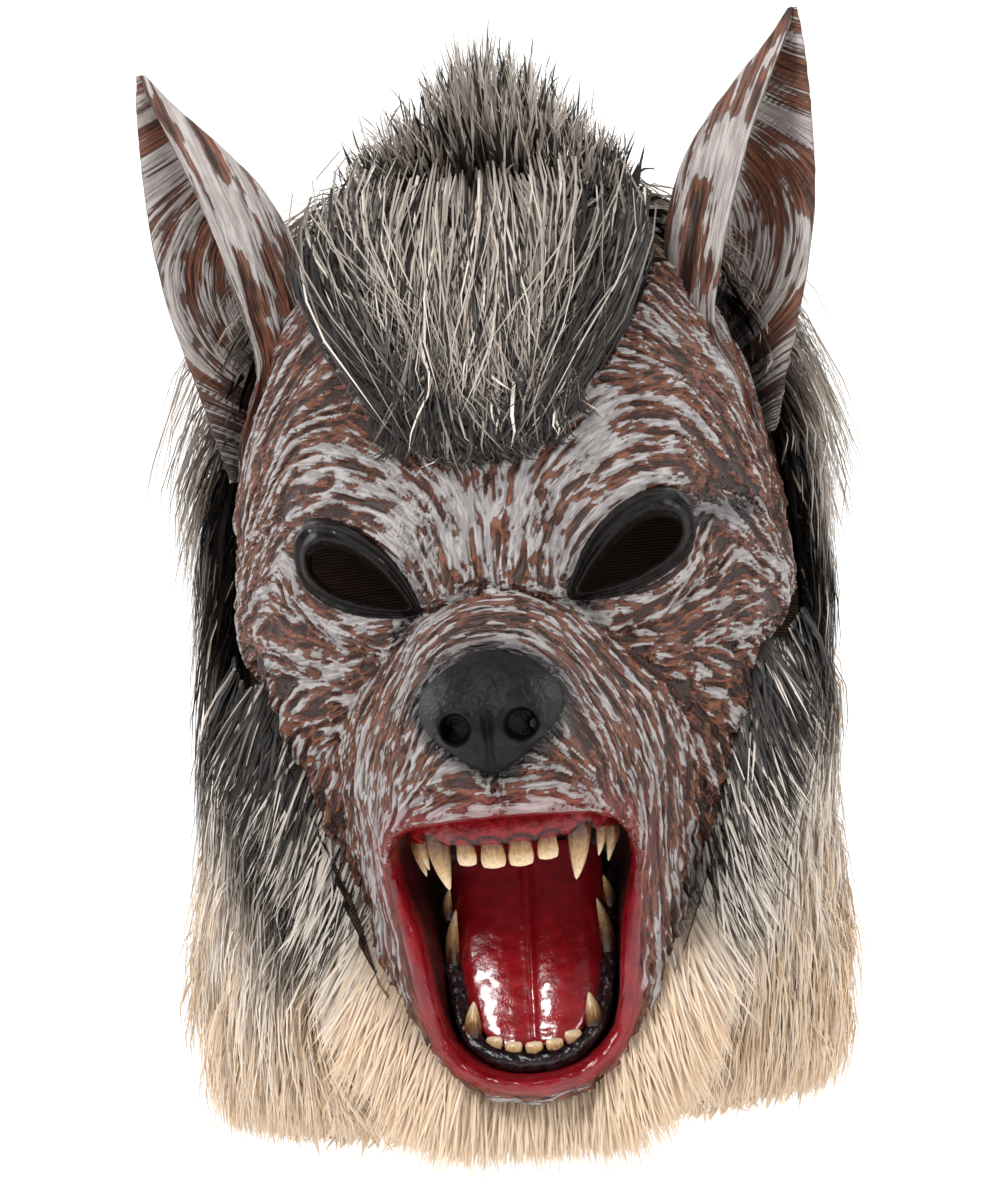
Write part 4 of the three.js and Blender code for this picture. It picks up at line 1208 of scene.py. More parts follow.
@dataclass
class Face:
    """The latex face: carved, painted, open at the eyes and the mouth."""

    head: Head
    flow: Flow
    eye: EyeShape
    mouth: MouthShape
    nose: Array
    cell: float = 1.2
    coarse: int = 4
    back: float = 15.3
    lip_round: float = 8.0
    lip_rise: float = 3.2
    carving: float = 1.35
    inner_cell: float = 3.5
    half: float = 118.0
    front: float = -192.0
    top: float = -26.0
    near: float = 9.0

    def _raster(self, low: Array, counts: Array, cell: float) -> tuple[Array, Array, Array, Array]:
        """Relief and cuts over the front view, one value per column of the grid.

        Args:
            low: the grid's first corner.
            counts: how many points it has each way.
            cell: its spacing.
        Returns:
            The relief, and the distances of the outer edge, the mouth and the eyes.
        """
        x = low[0] + cell * np.arange(counts[0])
        z = low[2] + cell * np.arange(counts[2])
        flat = np.stack(np.meshgrid(x, z, indexing="ij"), axis=-1).reshape(-1, 2)
        shape = (counts[0], 1, counts[2])
        mouth = -from_outline(flat, self.mouth.outline(self.head))
        eyes = np.maximum(*[-from_outline(flat, self.eye.outline(side, 0.0)) for side in (-1, 1)])
        return tuple(part.reshape(shape) for part in (self.relief(flat), self.edge(flat), mouth, eyes))

    def edge(self, flat: Array) -> Array:
        """Distance outwards from the scalloped edge of the face."""
        plain = from_outline(flat, self.head.outline(FACE_EDGE, self.head.half_width, self.head.face, 0))
        spread = np.stack([flat[:, 0] * 0, flat[:, 1], flat[:, 0] * 0.2], axis=1)
        scallop = value_noise(spread, 7.0, 5) + 0.6 * value_noise(spread, 3.4, 6)
        low = ease(-flat[:, 1], 110, 150)
        return plain + 0.4 + scallop * 1.5 * low

    def relief(self, flat: Array) -> Array:
        """How far the sculpt stands off the plain head over the front view."""
        mirror = np.stack([np.abs(flat[:, 0]), flat[:, 1]], axis=1)
        total = np.zeros(len(flat))
        for crease in CREASES:
            gap = from_path(mirror, self.head.spots(crease.line))
            total += self.carving * crease.rise * np.exp(-((gap / crease.width) ** 2))
        gap = from_outline(flat, self.mouth.outline(self.head))
        lower = ease(-flat[:, 1], 236, 262)
        band = 3.2 + 1.6 * lower
        total += (self.lip_rise + 1.2 * lower) * np.exp(-(((gap - band) / (band + 0.6)) ** 2))
        total -= 0.9 * np.exp(-(((gap - 3.2 * band) / 2.6) ** 2)) * (0.4 + 0.6 * lower)
        spread = np.stack([flat[:, 0], flat[:, 1] * 0, flat[:, 1]], axis=1)
        calm = ease(gap, 4, 16)
        total += (value_noise(spread, 16.0, 11) * 0.7 + value_noise(spread, 7.0, 12) * 0.45) * calm
        return total

    def _banded(self, low: Array, high: Array, cell: float) -> tuple[Array, Array]:
        """The head's field on a grid, exact near the surface and rough elsewhere.

        Args:
            low: the grid's first corner.
            high: its last.
            cell: its spacing.
        Returns:
            The field, and how many points each way.
        """
        blocks = np.ceil((high - low) / (cell * self.coarse)).astype(int)
        axes = [low[i] + cell * self.coarse * (np.arange(blocks[i]) + 0.5) for i in range(3)]
        middle = np.stack(np.meshgrid(*axes, indexing="ij"), axis=-1).reshape(-1, 3)
        rough = self.head.field(middle).reshape(blocks)
        values = rough.repeat(self.coarse, 0).repeat(self.coarse, 1).repeat(self.coarse, 2)
        near = np.argwhere(np.abs(values) < cell * self.coarse + self.near)
        values[tuple(near.T)] = self.head.field(low + cell * near)
        return values, np.array(values.shape)

    def _solid(self, cell: float, inset: float) -> Skin:
        """Meshes the face as a solid cut by its edge and holes.

        Args:
            cell: the grid's spacing.
            inset: how far inside the head's surface.
        Returns:
            The whole skin, cut walls included.
        """
        low = np.array([-self.half, self.front, -1.05 * self.head.face])
        high = np.array([self.half, -self.back + 2 * cell, self.top])
        values, counts = self._banded(low, high, cell)
        relief, edge, mouth, eyes = self._raster(low, counts, cell)
        solid = values + inset - relief
        for cut, radius in ((edge, 3.4), (mouth, self.lip_round), (eyes, 2.0)):
            solid = -blended_min(-solid, np.broadcast_to(-cut, solid.shape), radius)
        y = low[1] + cell * np.arange(counts[1])
        solid = np.maximum(solid, (y + self.back)[None, :, None])
        return surface_net(solid, low, cell)

    def _depth(self, points: Array) -> Array:
        """How far places lie off the sculpted surface."""
        return self.head.field(points) - self.relief(points[:, [0, 2]])

    def _outside(self) -> Skin:
        """The carved outside with the walls of its cuts."""
        cell = self.cell * 1.0
        skin = self._solid(cell, 0.0)
        keep = self._depth(skin.points) > -self.head.wall - 1.0
        keep &= skin.points[:, 1] < -self.back - 0.6 * cell
        return cut_away(skin, keep)

    def _inside(self) -> Skin:
        """The plain inside, turned to face the wearer."""
        skin = self._solid(self.inner_cell, self.head.wall)
        depth = self._depth(skin.points) + self.head.wall
        keep = (depth > -1.2) & (skin.points[:, 1] < -self.back - 0.5 * self.inner_cell)
        skin = cut_away(skin, keep)
        ones = np.ones(len(skin.points))
        rim = 1 - ease(from_outline(skin.points[:, [0, 2]], self.mouth.outline(self.head)), 4.0, 8.0)
        return Skin(skin.points, skin.faces[:, ::-1], {"inner": 1 - rim, "lip": rim, "paint": -2 * ones})

    def dress(self, skin: Skin) -> Skin:
        """Carves the hair and works out where the paints lie.

        Args:
            skin: the outside.
        Returns:
            The same skin, carved and with its carried numbers.
        """
        points = skin.points
        flat = points[:, [0, 2]]
        outward = point_normals(points, skin.faces)
        wide = self.flow.streaks(points, outward, 2.6, 15.0, 21)
        fine = self.flow.streaks(points, outward, 1.45, 11.0, 22)
        knobs = value_noise(points * np.array([1, 0.6, 1]), 4.2, 23)
        streak = 0.45 * wide + 0.85 * fine
        gap = from_outline(flat, self.mouth.outline(self.head))
        from_side = 1.3 * (108 - np.abs(points[:, 0])) + 60 * ease(-points[:, 2], 170, 230)
        border = np.minimum(-self.edge(flat), from_side)
        eyes = np.minimum(*[from_outline(flat, self.eye.outline(side, 0.0)) for side in (-1, 1)])
        lower = ease(-flat[:, 1], 236, 285)
        lip = 1 - ease(gap, 0.6 + 5.4 * lower, 2.4 + 7.0 * lower)
        calm = (1 - lip) * ease(eyes, 1.5, 6.0)
        rough_edge = 1 - ease(border, 4, 22)
        depth = self._depth(points)
        skin_side = ease(depth, -1.6, -0.2)
        ragged = rough_edge * ease(-flat[:, 1], 80, 110) * 1.5 * knobs
        lift = (0.9 * np.tanh(1.2 * streak) + ragged) * calm * skin_side
        made = points + outward * lift[:, None]
        paint = -0.22 - 0.35 * (1 - ease(border, 2, 14)) + 0.4 * knobs * rough_edge
        mirror = np.stack([np.abs(flat[:, 0]), flat[:, 1]], axis=1)
        for across, down, reach, amount in PAINT_PATCHES:
            spot = self.head.spots([(across, down)])[0]
            paint += amount * np.exp(-((mirror - spot) ** 2).sum(axis=1) / reach**2)
        # Painted shade: dark round the eye holes, along the shade lines, round the nose and fainter over
        # the bridge above it
        soot = 0.95 * np.exp(-((np.maximum(eyes, 0) / 5.5) ** 2))
        for shade_line, reach, left, right in SHADE_LINES:
            near = np.exp(-((from_path(mirror, self.head.spots(shade_line)) / reach) ** 2))
            soot = np.maximum(soot, np.where(points[:, 0] > 0, right, left) * near)
        nose = from_outline(flat, self.nose)
        soot = np.maximum(soot, 0.9 * np.exp(-((np.maximum(nose, 0) / 5.0) ** 2)))
        bridge = np.exp(-((np.maximum(nose, 0) / 15.0) ** 2)) * (flat[:, 1] > -196)
        soot = np.maximum(soot, 0.42 * bridge)
        blush = 0.8 * np.exp(-((np.maximum(gap - 1, 0) / (8.0 - 1.5 * lower)) ** 2)) * (1 - lip)
        carried = {
            "streak": streak * calm,
            "paint": paint - 1.4 * lip,
            "lip": lip,
            "blush": blush * (0.6 + 0.4 * value_noise(points, 6.0, 24)),
            "soot": soot,
            "flow": np.concatenate([self.flow.doubled(points), np.zeros((len(points), 1))], axis=1),
        }
        return Skin(made, skin.faces, carried)

    def build(self) -> list[bpy.types.Object]:
        """Makes the face.

        Returns:
            Its pieces.
        """
        finish = LatexFinish()
        skin = self.dress(self._outside())
        material = finish.material("painted latex", finish.combed)
        outside = skin.piece("latex_face", material, "painted_latex", "face_shell", "muzzle_shell")
        inside = self._inside().piece("latex_face_inside", material, "painted_latex")
        return [outside, inside]


@dataclass
class EyeRims:
    """The glossy black rims round the eye holes."""

    face: Face
    width: float = 7.4
    proud: float = 3.0
    sunk: float = 4.0
    sides: int = 26

    def build(self) -> list[bpy.types.Object]:
        """Makes both rims.

        Returns:
            Its pieces.
        """
        finish = GlossFinish((0.004, 0.0032, 0.003), (0.013, 0.0095, 0.008), 0.36, blotch=2.5,
                             pit_depth=0.12, specular=0.14)
        material = finish.material("rim paint")
        made = []
        for side, hand in ((-1, "left"), (1, "right")):
            skin = self._rim(side)
            made.append(skin.piece(f"eye_rim_{hand}_dressed", material, "rim_latex", f"eye_rim_{hand}"))
        return made

    def _rim(self, side: int) -> Skin:
        """One rim: a rounded band that follows the hole.

        Args:
            side: 1 for the viewer's right.
        Returns:
            Its skin.
        """
        count = 200
        eye = self.face.eye
        inner = eye.outline(side, 2.2, count)
        next_in = eye.outline(side, 3.2, count)
        across = unit(inner - next_in)
        tilt = math.radians(eye.tilt)
        middle = np.array([side * eye.offset, -eye.drop])
        away = inner - middle
        upper = ease(away[:, 1] * math.cos(tilt) - side * away[:, 0] * math.sin(tilt), -3, 6)
        outer = ease(side * away[:, 0] * math.cos(tilt) + away[:, 1] * math.sin(tilt), -18, 16)
        wide = self.width * (0.82 + 0.75 * upper * (0.35 + 0.65 * outer) + 0.15 * outer)
        rows = []
        for share in np.linspace(0, 1, self.sides):
            place = inner + across * (share * wide)[:, None]
            front = self.face.head.front_of(place[:, 0], place[:, 1], self.face.relief(place))
            lid = np.exp(-(((share - 0.3) / 0.2) ** 2))
            lid = lid + (0.35 + 0.45 * upper) * np.exp(-(((share - 0.78) / 0.15) ** 2))
            where = np.stack([place[:, 0], place[:, 1], 0 * front], axis=1)
            lift = self.proud * lid * (0.85 + 0.35 * upper) + 0.14 * value_noise(where, 2.4, 31)
            lift = lift - self.sunk * (1 - share / 0.12) ** 2 * (share < 0.12)
            lift = lift - 2.2 * max(share - 0.88, 0) / 0.12
            rows.append(np.stack([place[:, 0], front - lift, place[:, 1]], axis=1))
        points = np.stack(rows, axis=1).reshape(-1, 3)
        faces = grid_faces(count + 1, self.sides, False) % (count * self.sides)
        skin = Skin(points, faces)
        if point_normals(points, faces)[:, 1].mean() > 0:
            skin.faces = skin.faces[:, ::-1]
        return skin


def rings_skin(rings: Array) -> Skin:
    """Skins a stack of closed rings, with the last one drawn in to a point.

    Args:
        rings: points by ring, by place round it.
    Returns:
        The skin, in quads.
    """
    middle = rings[-1:].mean(axis=1, keepdims=True)
    rings = np.concatenate([rings, middle + (rings[-1:] - middle) * 0.02])
    rows, columns = rings.shape[:2]
    return Skin(rings.reshape(-1, 3), grid_faces(rows, columns, True))


def round_curve(rows: Array, count: int) -> Array:
    """A curve through points, evenly spaced along its length."""
    rows = np.asarray(rows, float)
    steps = np.linalg.norm(np.diff(rows, axis=0), axis=1)
    knots = np.concatenate([[0], np.cumsum(np.sqrt(steps))])
    dense = spline(rows, np.linspace(0, knots[-1], 40 * len(rows)), knots)
    run = np.concatenate([[0], np.cumsum(np.linalg.norm(np.diff(dense, axis=0), axis=1))])
    places = np.linspace(0, run[-1], count)
    return np.stack([np.interp(places, run, dense[:, k]) for k in range(rows.shape[1])], axis=1)


# Ears


@dataclass
class Ears:
    """The tall pointed ears: thin curved shells, open outwards and forwards."""

    head: Head
    tall: float = 163.0
    wide: float = 62.0
    offset: float = 69.0
    drop: float = 103.0
    wall: float = 3.0
    rows: int = 110
    across: int = 44
    slices: tuple[tuple[float, ...], ...] = (
        (0.0, 0.44, 0.52, 0.62, 0.3, -0.1), (0.11, 0.24, 0.46, 0.7, 0.37, -0.02),
        (0.25, 0.0, 0.32, 0.81, 0.4, 0.08), (0.4, 0.0, 0.38, 0.92, 0.4, 0.11),
        (0.57, 0.09, 0.51, 1.0, 0.35, 0.11), (0.71, 0.27, 0.64, 1.02, 0.3, 0.07),
        (0.84, 0.56, 0.79, 1.02, 0.22, 0.0), (0.94, 0.81, 0.91, 1.01, 0.15, -0.05),
        (1.0, 0.93, 0.96, 0.99, 0.11, -0.08),
    )

    def build(self) -> list[bpy.types.Object]:
        """Makes both ears.

        Returns:
            Its pieces.
        """
        finish = LatexFinish(grey=(0.36, 0.32, 0.305), pale=(0.5, 0.455, 0.435))
        material = finish.material("painted latex ears", finish.drawn)
        made = []
        for side, hand in ((-1, "left"), (1, "right")):
            skin = self._shell(side)
            made.append(skin.piece(f"ear_{hand}_dressed", material, "painted_latex", f"ear_{hand}"))
        return made

    def _section(self, row: Array) -> tuple[Array, Array]:
        """The outer and inner line of one level cut.

        Args:
            row: rise, inner, rim, outer, ahead and behind as shares.
        Returns:
            Two rows of flat points from the front rim round to the outer rim.
        """
        _, inner, rim, outer, ahead, behind = row
        front, back = -ahead * self.head.half_depth, behind * self.head.half_depth
        deep = back - front
        sideways = self.offset + self.wide * np.array([rim, inner, 0.6 * inner + 0.4 * outer, outer])
        inwards = np.array([front, front + 0.42 * deep, back, front + 0.62 * deep])
        line = round_curve(np.stack([sideways, inwards], axis=1), self.across)
        run = np.gradient(line, axis=0)
        inward = unit(np.stack([run[:, 1], -run[:, 0]], axis=1))
        place = np.linspace(-1, 1, self.across)
        wall = min(self.wall, (outer - inner) * self.wide * 0.32) * np.sqrt(1 - 0.94 * place**8)
        return line, line + inward * wall[:, None]

    def _shell(self, side: int) -> Skin:
        """One ear.

        Args:
            side: 1 for the viewer's right.
        Returns:
            Its skin.
        """
        table = np.array(self.slices)
        places = np.linspace(0, 1, self.rows) ** 0.92
        read = spline(table, places, table[:, 0])
        rings, strands, inner_side = [], [], []
        share = np.linspace(0, 1, self.across)
        for rise, row in zip(places, read):
            outside, inside = self._section(row)
            loop = np.concatenate([outside, inside[::-1]])
            height = np.full(len(loop), -self.drop + rise * self.tall)
            rings.append(np.stack([side * loop[:, 0], loop[:, 1], height], axis=1))
            span = np.linalg.norm(np.diff(outside, axis=0), axis=1).sum()
            round_it = np.concatenate([share, 1.06 + share]) * span
            up, shift = np.full(len(loop), rise * self.tall), np.full(len(loop), 7.0 * side)
            strands.append(np.stack([round_it, up, shift], axis=1))
            inner_side.append(np.concatenate([0 * share, 1 + 0 * share]))
        rings = np.array(rings)
        if side > 0:
            rings, strands = rings[:, ::-1], [row[::-1] for row in strands]
            inner_side = [row[::-1] for row in inner_side]
        skin = rings_skin(rings)
        strand = np.concatenate([*strands, strands[-1]])
        hollow = np.concatenate([*inner_side, inner_side[-1]])
        return self._dress(skin, strand, hollow)

    def _dress(self, skin: Skin, strand: Array, hollow: Array) -> Skin:
        """Carves an ear and lays out its paints.

        Args:
            skin: the plain ear.
            strand: places across and along it.
            hollow: 1 on the inside of the shell.
        Returns:
            The carved ear.
        """
        points = skin.points
        outward = point_normals(points, skin.faces)
        drawn = strand * np.array([1, 0.16, 1])
        wide = value_noise(drawn, 3.4, 41) + 0.6 * value_noise(drawn, 1.9, 42)
        fold = value_noise(strand * np.array([1, 0.22, 1]), 11.0, 43)
        lift = 0.5 * wide * (1 - 0.55 * hollow) + 1.1 * fold * hollow
        near_tip = ease(strand[:, 1], 0, 0.9 * self.tall)
        made = points + outward * (lift * (1 - 0.5 * near_tip))[:, None]
        patch = value_noise(strand * np.array([1, 0.5, 1]), 16.0, 44) + 0.5 * value_noise(strand, 6.0, 45)
        base = 1 - ease(strand[:, 1], 10, 62)
        carried = {
            "strand": strand,
            "streak": 1.3 * wide * (1 - 0.5 * hollow) + 0.6 * fold * hollow,
            "paint": 0.12 + 0.75 * patch - 0.35 * base + 0.12 * hollow,
            # Painted shade at the ear's root, strongest inside the hollow
            "soot": 0.55 * base * hollow + 0.12 * base,
        }
        return Skin(made, skin.faces, carried)


# Nose


@dataclass
class Nose:
    """The charcoal nose pad with its open nostrils."""

    head: Head
    wide: float = 52.0
    tall: float = 43.0
    drop: float = 171.0
    bulge: float = 10.5
    spacing: float = 23.0
    nostril: float = 11.0
    nostril_down: float = 0.58
    depth: float = 7.0
    rings: int = 84
    spokes: int = 170
    slices: tuple[tuple[float, float], ...] = (
        (0, 0.0), (0.02, 0.22), (0.12, 0.6), (0.3, 0.93), (0.48, 1.0), (0.66, 0.85), (0.83, 0.5),
        (0.96, 0.2), (1, 0.0),
    )

    def outline(self) -> Array:
        """Returns the pad's outline in the front view, evenly spaced."""
        right = [(half * self.wide / 2, -self.drop - down * self.tall) for down, half in self.slices]
        left = [(-x, z) for x, z in reversed(right[1:-1])]
        ring = np.array(right + left)
        closed = round_curve(np.concatenate([ring[-2:], ring, ring[:3]]), 8 * len(ring))
        middle = self.middle()
        angle = np.arctan2(closed[:, 0] - middle[0], -(closed[:, 1] - middle[1]))
        reach = np.linalg.norm(closed - middle, axis=1)
        turn = np.linspace(-math.pi, math.pi, self.spokes, endpoint=False)
        order = np.argsort(angle)
        far = np.interp(turn, angle[order], reach[order], period=2 * math.pi)
        return middle + far[:, None] * np.stack([np.sin(turn), -np.cos(turn)], axis=1)

    def middle(self) -> Array:
        """Returns the pad's middle in the front view."""
        return np.array([0.0, -self.drop - 0.46 * self.tall])

    def build(self) -> list[bpy.types.Object]:
        """Makes the nose.

        Returns:
            Its pieces.
        """
        outline, middle = self.outline(), self.middle()
        share = np.concatenate([np.linspace(0.01, 1, self.rings), [1.02, 1.03]])
        flat = middle + share[:, None, None] * (outline - middle)
        flat = flat.reshape(-1, 2)
        radius = np.repeat(share, self.spokes)
        front = self.head.front_of(flat[:, 0], flat[:, 1])
        mirror = np.abs(flat[:, 0])
        down = (-flat[:, 1] - self.drop) / self.tall
        dome = np.clip(1 - radius**3.2, 0, 1) ** 0.55
        lift = self.bulge * dome
        gap = np.hypot(mirror - self.spacing / 2, flat[:, 1] + self.drop + self.nostril_down * self.tall)
        lift += 1.6 * np.exp(-(((gap - 7.5) / 3.2) ** 2)) * dome
        lift -= 2.4 * np.exp(-((flat[:, 0] / 1.7) ** 2)) * ease(down, 0.36, 0.6)
        slit = from_path(np.stack([mirror, flat[:, 1]], axis=1), np.array([
            (self.spacing / 2 + 4, -self.drop - self.nostril_down * self.tall - 1.0),
            (self.spacing / 2 + 9, -self.drop - self.nostril_down * self.tall - 4.5)]))
        lift -= 2.2 * np.exp(-((slit / 1.5) ** 2))
        leaning = gap + 0.12 * (flat[:, 1] + self.drop + 25)
        hole = 1 - ease(leaning, self.nostril / 2 - 1.2, self.nostril / 2 + 0.9)
        lift -= self.depth * hole
        lift = np.where(radius > 1, -4.0 * (radius - 1) / 0.03, lift)
        grain = np.stack([flat[:, 0], 0 * front, flat[:, 1]], axis=1)
        pebbles = value_noise(grain, 2.3, 51) + 0.7 * value_noise(grain, 1.3, 52)
        lift += 0.28 * pebbles * (1 - hole) * (1 - ease(down, 0.4, 0.75)) * dome
        points = np.stack([flat[:, 0], front - lift, flat[:, 1]], axis=1)
        faces = grid_faces(len(share), self.spokes, True)[:, ::-1]
        # The nostril pits carry deep, which the finish paints darker as painted shade
        skin = Skin(points, faces, {"deep": hole})
        if point_normals(points, faces)[: self.spokes, 1].mean() > 0:
            skin.faces = faces[:, ::-1]
        finish = GlossFinish((0.005, 0.0045, 0.004), (0.013, 0.012, 0.0115), 0.42, blotch=5.0, pits=1.1,
                             pit_depth=0.3, specular=0.14)
        return [skin.piece("nose_dressed", finish.material("nose paint"), "nose_latex", "nose_pad")]


# Mouth


class Jaw(Enum):
    """Which jaw."""

    UPPER = "upper"
    LOWER = "lower"


@dataclass(frozen=True)
class ToothKind:
    """A tooth's length, its curl inwards, and its rings: place along it, width and depth."""

    length: float
    curl: float
    rings: tuple[tuple[float, float, float], ...]


INCISOR = ToothKind(12.0, 0.05, ((-0.25, 0.8, 0.62), (0.0, 0.9, 0.66), (0.3, 0.97, 0.62),
                                 (0.85, 1.05, 0.42), (1.0, 0.88, 0.22)))
FANG = ToothKind(21.0, 0.16, ((-0.15, 1.0, 0.9), (0.08, 1.04, 0.92), (0.3, 0.95, 0.85), (0.7, 0.6, 0.54),
                              (1.0, 0.12, 0.12)))


@dataclass(frozen=True)
class Tooth:
    """One tooth: its name, place along the arch, kind and size."""

    name: str
    place: float
    kind: ToothKind
    wide: float
    long: float


UPPER_TEETH = (
    Tooth("incisor_inner", 0.06, INCISOR, 1.0, 1.0), Tooth("incisor_outer", 0.18, INCISOR, 0.88, 0.92),
    Tooth("canine", 0.345, FANG, 1.1, 1.0), Tooth("side_front", 0.53, FANG, 0.62, 0.66),
    Tooth("side_middle", 0.68, FANG, 0.7, 0.77), Tooth("side_back", 0.83, FANG, 0.6, 0.57),
)
LOWER_TEETH = (
    Tooth("incisor_middle", 0.0, INCISOR, 0.72, 0.52), Tooth("incisor_inner", 0.085, INCISOR, 0.72, 0.52),
    Tooth("incisor_outer", 0.17, INCISOR, 0.72, 0.52), Tooth("canine", 0.3, FANG, 0.85, 0.57),
    Tooth("side_front", 0.66, FANG, 0.75, 0.86), Tooth("side_back", 0.86, FANG, 0.6, 0.51),
)


@dataclass
class Mouth:
    """The open mouth: lining, gums, teeth and tongue."""

    head: Head
    shape: MouthShape
    tooth_width: float = 8.2
    tongue_width: float = 57.0
    tongue_thick: float = 11.0
    back: float = -77.0
    upper_arch: tuple[tuple[float, float, float], ...] = (
        (0, 0.872, 0.071), (0.381, 0.851, 0.066), (0.667, 0.793, 0.056), (0.845, 0.691, 0.071),
        (0.869, 0.532, 0.102),
    )
    lower_arch: tuple[tuple[float, float, float], ...] = (
        (0, 0.686, 0.949), (0.31, 0.676, 0.929), (0.56, 0.644, 0.837), (0.69, 0.564, 0.592),
        (0.75, 0.468, 0.327),
    )
    tongue_slices: tuple[tuple[float, float, float, float], ...] = (
        (0.426, 0.133, 0.9, 1.0), (0.468, 0.286, 1.0, 1.0), (0.527, 0.49, 1.0, 1.0),
        (0.585, 0.684, 0.92, 0.95), (0.628, 0.816, 0.74, 0.8), (0.649, 0.888, 0.4, 0.5),
    )
    tongue_profile: tuple[tuple[float, float], ...] = (
        (-1, 0), (-0.8, 0.75), (-0.35, 1), (-0.1, 0.86), (0, 0.6), (0.1, 0.86), (0.35, 1), (0.8, 0.75),
        (1, 0), (0.6, -0.3), (0, -0.34), (-0.6, -0.3),
    )

    def place(self, rows: Sequence[Sequence[float]]) -> Array:
        """Places in the mouth from shares across, ahead and down."""
        table = np.asarray(rows, float)
        return np.stack([table[:, 0] * self.shape.half, -table[:, 1] * self.head.reach,
                         -self.shape.drop - table[:, 2] * self.shape.height], axis=1)

    def arch(self, jaw: Jaw, count: int) -> Array:
        """The line that a jaw's teeth stand on, from the viewer's left to the right."""
        right = self.place(self.upper_arch if jaw is Jaw.UPPER else self.lower_arch)
        left = right[:0:-1] * np.array([-1, 1, 1])
        return round_curve(np.concatenate([left, right]), count)

    def build(self) -> list[bpy.types.Object]:
        """Makes the mouth.

        Returns:
            Its pieces.
        """
        red = GlossFinish((0.14, 0.003, 0.005), (0.3, 0.011, 0.015), 0.24, blotch=2.2, pits=0.8,
                          pit_depth=0.16, specular=0.35)
        black = GlossFinish((0.006, 0.004, 0.005), (0.03, 0.01, 0.012), 0.22, blotch=3.0, pits=0.9,
                            pit_depth=0.12, specular=0.4)
        tongue = GlossFinish((0.2, 0.002, 0.005), (0.3, 0.006, 0.012), 0.2, blotch=5.0, pits=0.9,
                             pit_depth=0.1, coat=0.8)
        enamel = ToothFinish().material("enamel")
        made = [
            self._lining().piece("mouth_lining_dressed", self._lining_finish(), "dark_mouth",
                                 "mouth_lining"),
            self._gum(Jaw.UPPER).piece("upper_gum_dressed", red.material("wet gum"), "red_mouth",
                                       "upper_gum"),
            self._gum(Jaw.LOWER).piece("lower_gum_dressed", black.material("dark gum"), "dark_mouth",
                                       "lower_gum"),
            self._tongue().piece("tongue_dressed", tongue.material("wet tongue"), "red_mouth", "tongue"),
        ]
        for jaw in Jaw:
            skin, nodes = self._teeth(jaw)
            made.append(skin.piece(f"{jaw.value}_teeth", enamel, "teeth", *nodes))
        return made

    def _lining_finish(self) -> bpy.types.Material:
        """The lining's finish: red behind the lips and dark further in."""
        shader = Shader("mouth lining")
        where = shader.position()
        deep = shader.attribute("deep")
        blotch = shader.noise(where, 4.0, 3.0, 0.6)
        place = deep + (blotch - 0.5) * 0.25
        stops = [(0.0, (0.34, 0.012, 0.016)), (0.1, (0.22, 0.008, 0.01)), (0.2, (0.03, 0.005, 0.006)),
                 (0.34, (0.075, 0.006, 0.007)), (0.6, (0.012, 0.003, 0.003)), (1.0, (0.002, 0.001, 0.001))]
        return shader.finish(base_color=shader.ramp(place, stops), roughness=0.3 + blotch * 0.15,
                             normal=shader.bump(blotch, 0.5))

    def _lining(self) -> Skin:
        """The pocket behind the lips."""
        count, rows = 180, 46
        rim = self.shape.outline(self.head)
        line = round_curve(np.concatenate([rim, rim[:1]]), count + 1)[:-1]
        middle = np.array([0.0, -self.shape.drop - 0.5 * self.shape.height])
        front = self.head.front_of(line[:, 0], line[:, 1]) + self.head.wall + 0.4
        share = np.linspace(0, 1, rows) ** 1.5
        rings = []
        for s in share:
            shrink = (1.02 - 0.14 * s) * math.sqrt(max(1 - s**6, 0.0004))
            flat = middle + (line - middle) * shrink
            rings.append(np.stack([flat[:, 0], front + (self.back - front) * s, flat[:, 1]], axis=1))
        points = np.array(rings)
        wave = value_noise(points.reshape(-1, 3), 7.0, 61).reshape(rows, count)
        points[:, :, 0] *= 1 + 0.012 * wave
        skin = Skin(points.reshape(-1, 3), grid_faces(rows, count, True))
        skin.carried = {"deep": np.repeat(share, count)}
        facing = point_normals(skin.points, skin.faces)[5 * count: 6 * count, [0, 2]]
        middle_out = (facing * (line - middle)).sum()
        if middle_out > 0:
            skin.faces = skin.faces[:, ::-1]
        return skin

    def _gum(self, jaw: Jaw) -> Skin:
        """One knobbly gum.

        Args:
            jaw: which jaw.
        Returns:
            Its skin.
        """
        count, sides = 260, 28
        upper = jaw is Jaw.UPPER
        way = -1 if upper else 1
        line = self.arch(jaw, count)
        thick = 8.0 if upper else 6.5
        teeth = UPPER_TEETH if upper else LOWER_TEETH
        share = np.linspace(0, 1, count)
        knob, beside = np.zeros(count), np.full(count, 99.0)
        span = np.linalg.norm(np.diff(line, axis=0), axis=1).sum()
        for tooth in teeth:
            for side in (-1, 1):
                at = 0.5 + side * tooth.place / 2
                knob = np.maximum(knob, np.exp(-(((share - at) / (0.024 * tooth.wide + 0.006)) ** 2)))
                away = np.abs(share - at) * span / (0.5 * self.tooth_width * tooth.wide + 0.5)
                beside = np.minimum(beside, away)
        up = np.tile([0.0, 0.0, 1.0], (count, 1))
        out = unit(np.cross(unit(np.gradient(line, axis=0)), up))
        rings, dark = [], []
        for angle in np.linspace(0, 2 * math.pi, sides, endpoint=False):
            front = max(math.cos(angle), 0)
            wide = thick * 0.5 * (1 + 0.22 * knob * front)
            tall = thick * (0.72 if upper else 0.58) * (1 + 0.12 * knob)
            aside, above = math.cos(angle) * wide, -way * (2.4 if upper else 1.2) + math.sin(angle) * tall
            rings.append(line + out * aside[:, None] + up * above[:, None])
            toward = math.sin(angle) * way
            round_neck = np.hypot(beside, max(0.95 - toward, 0) / 0.5)
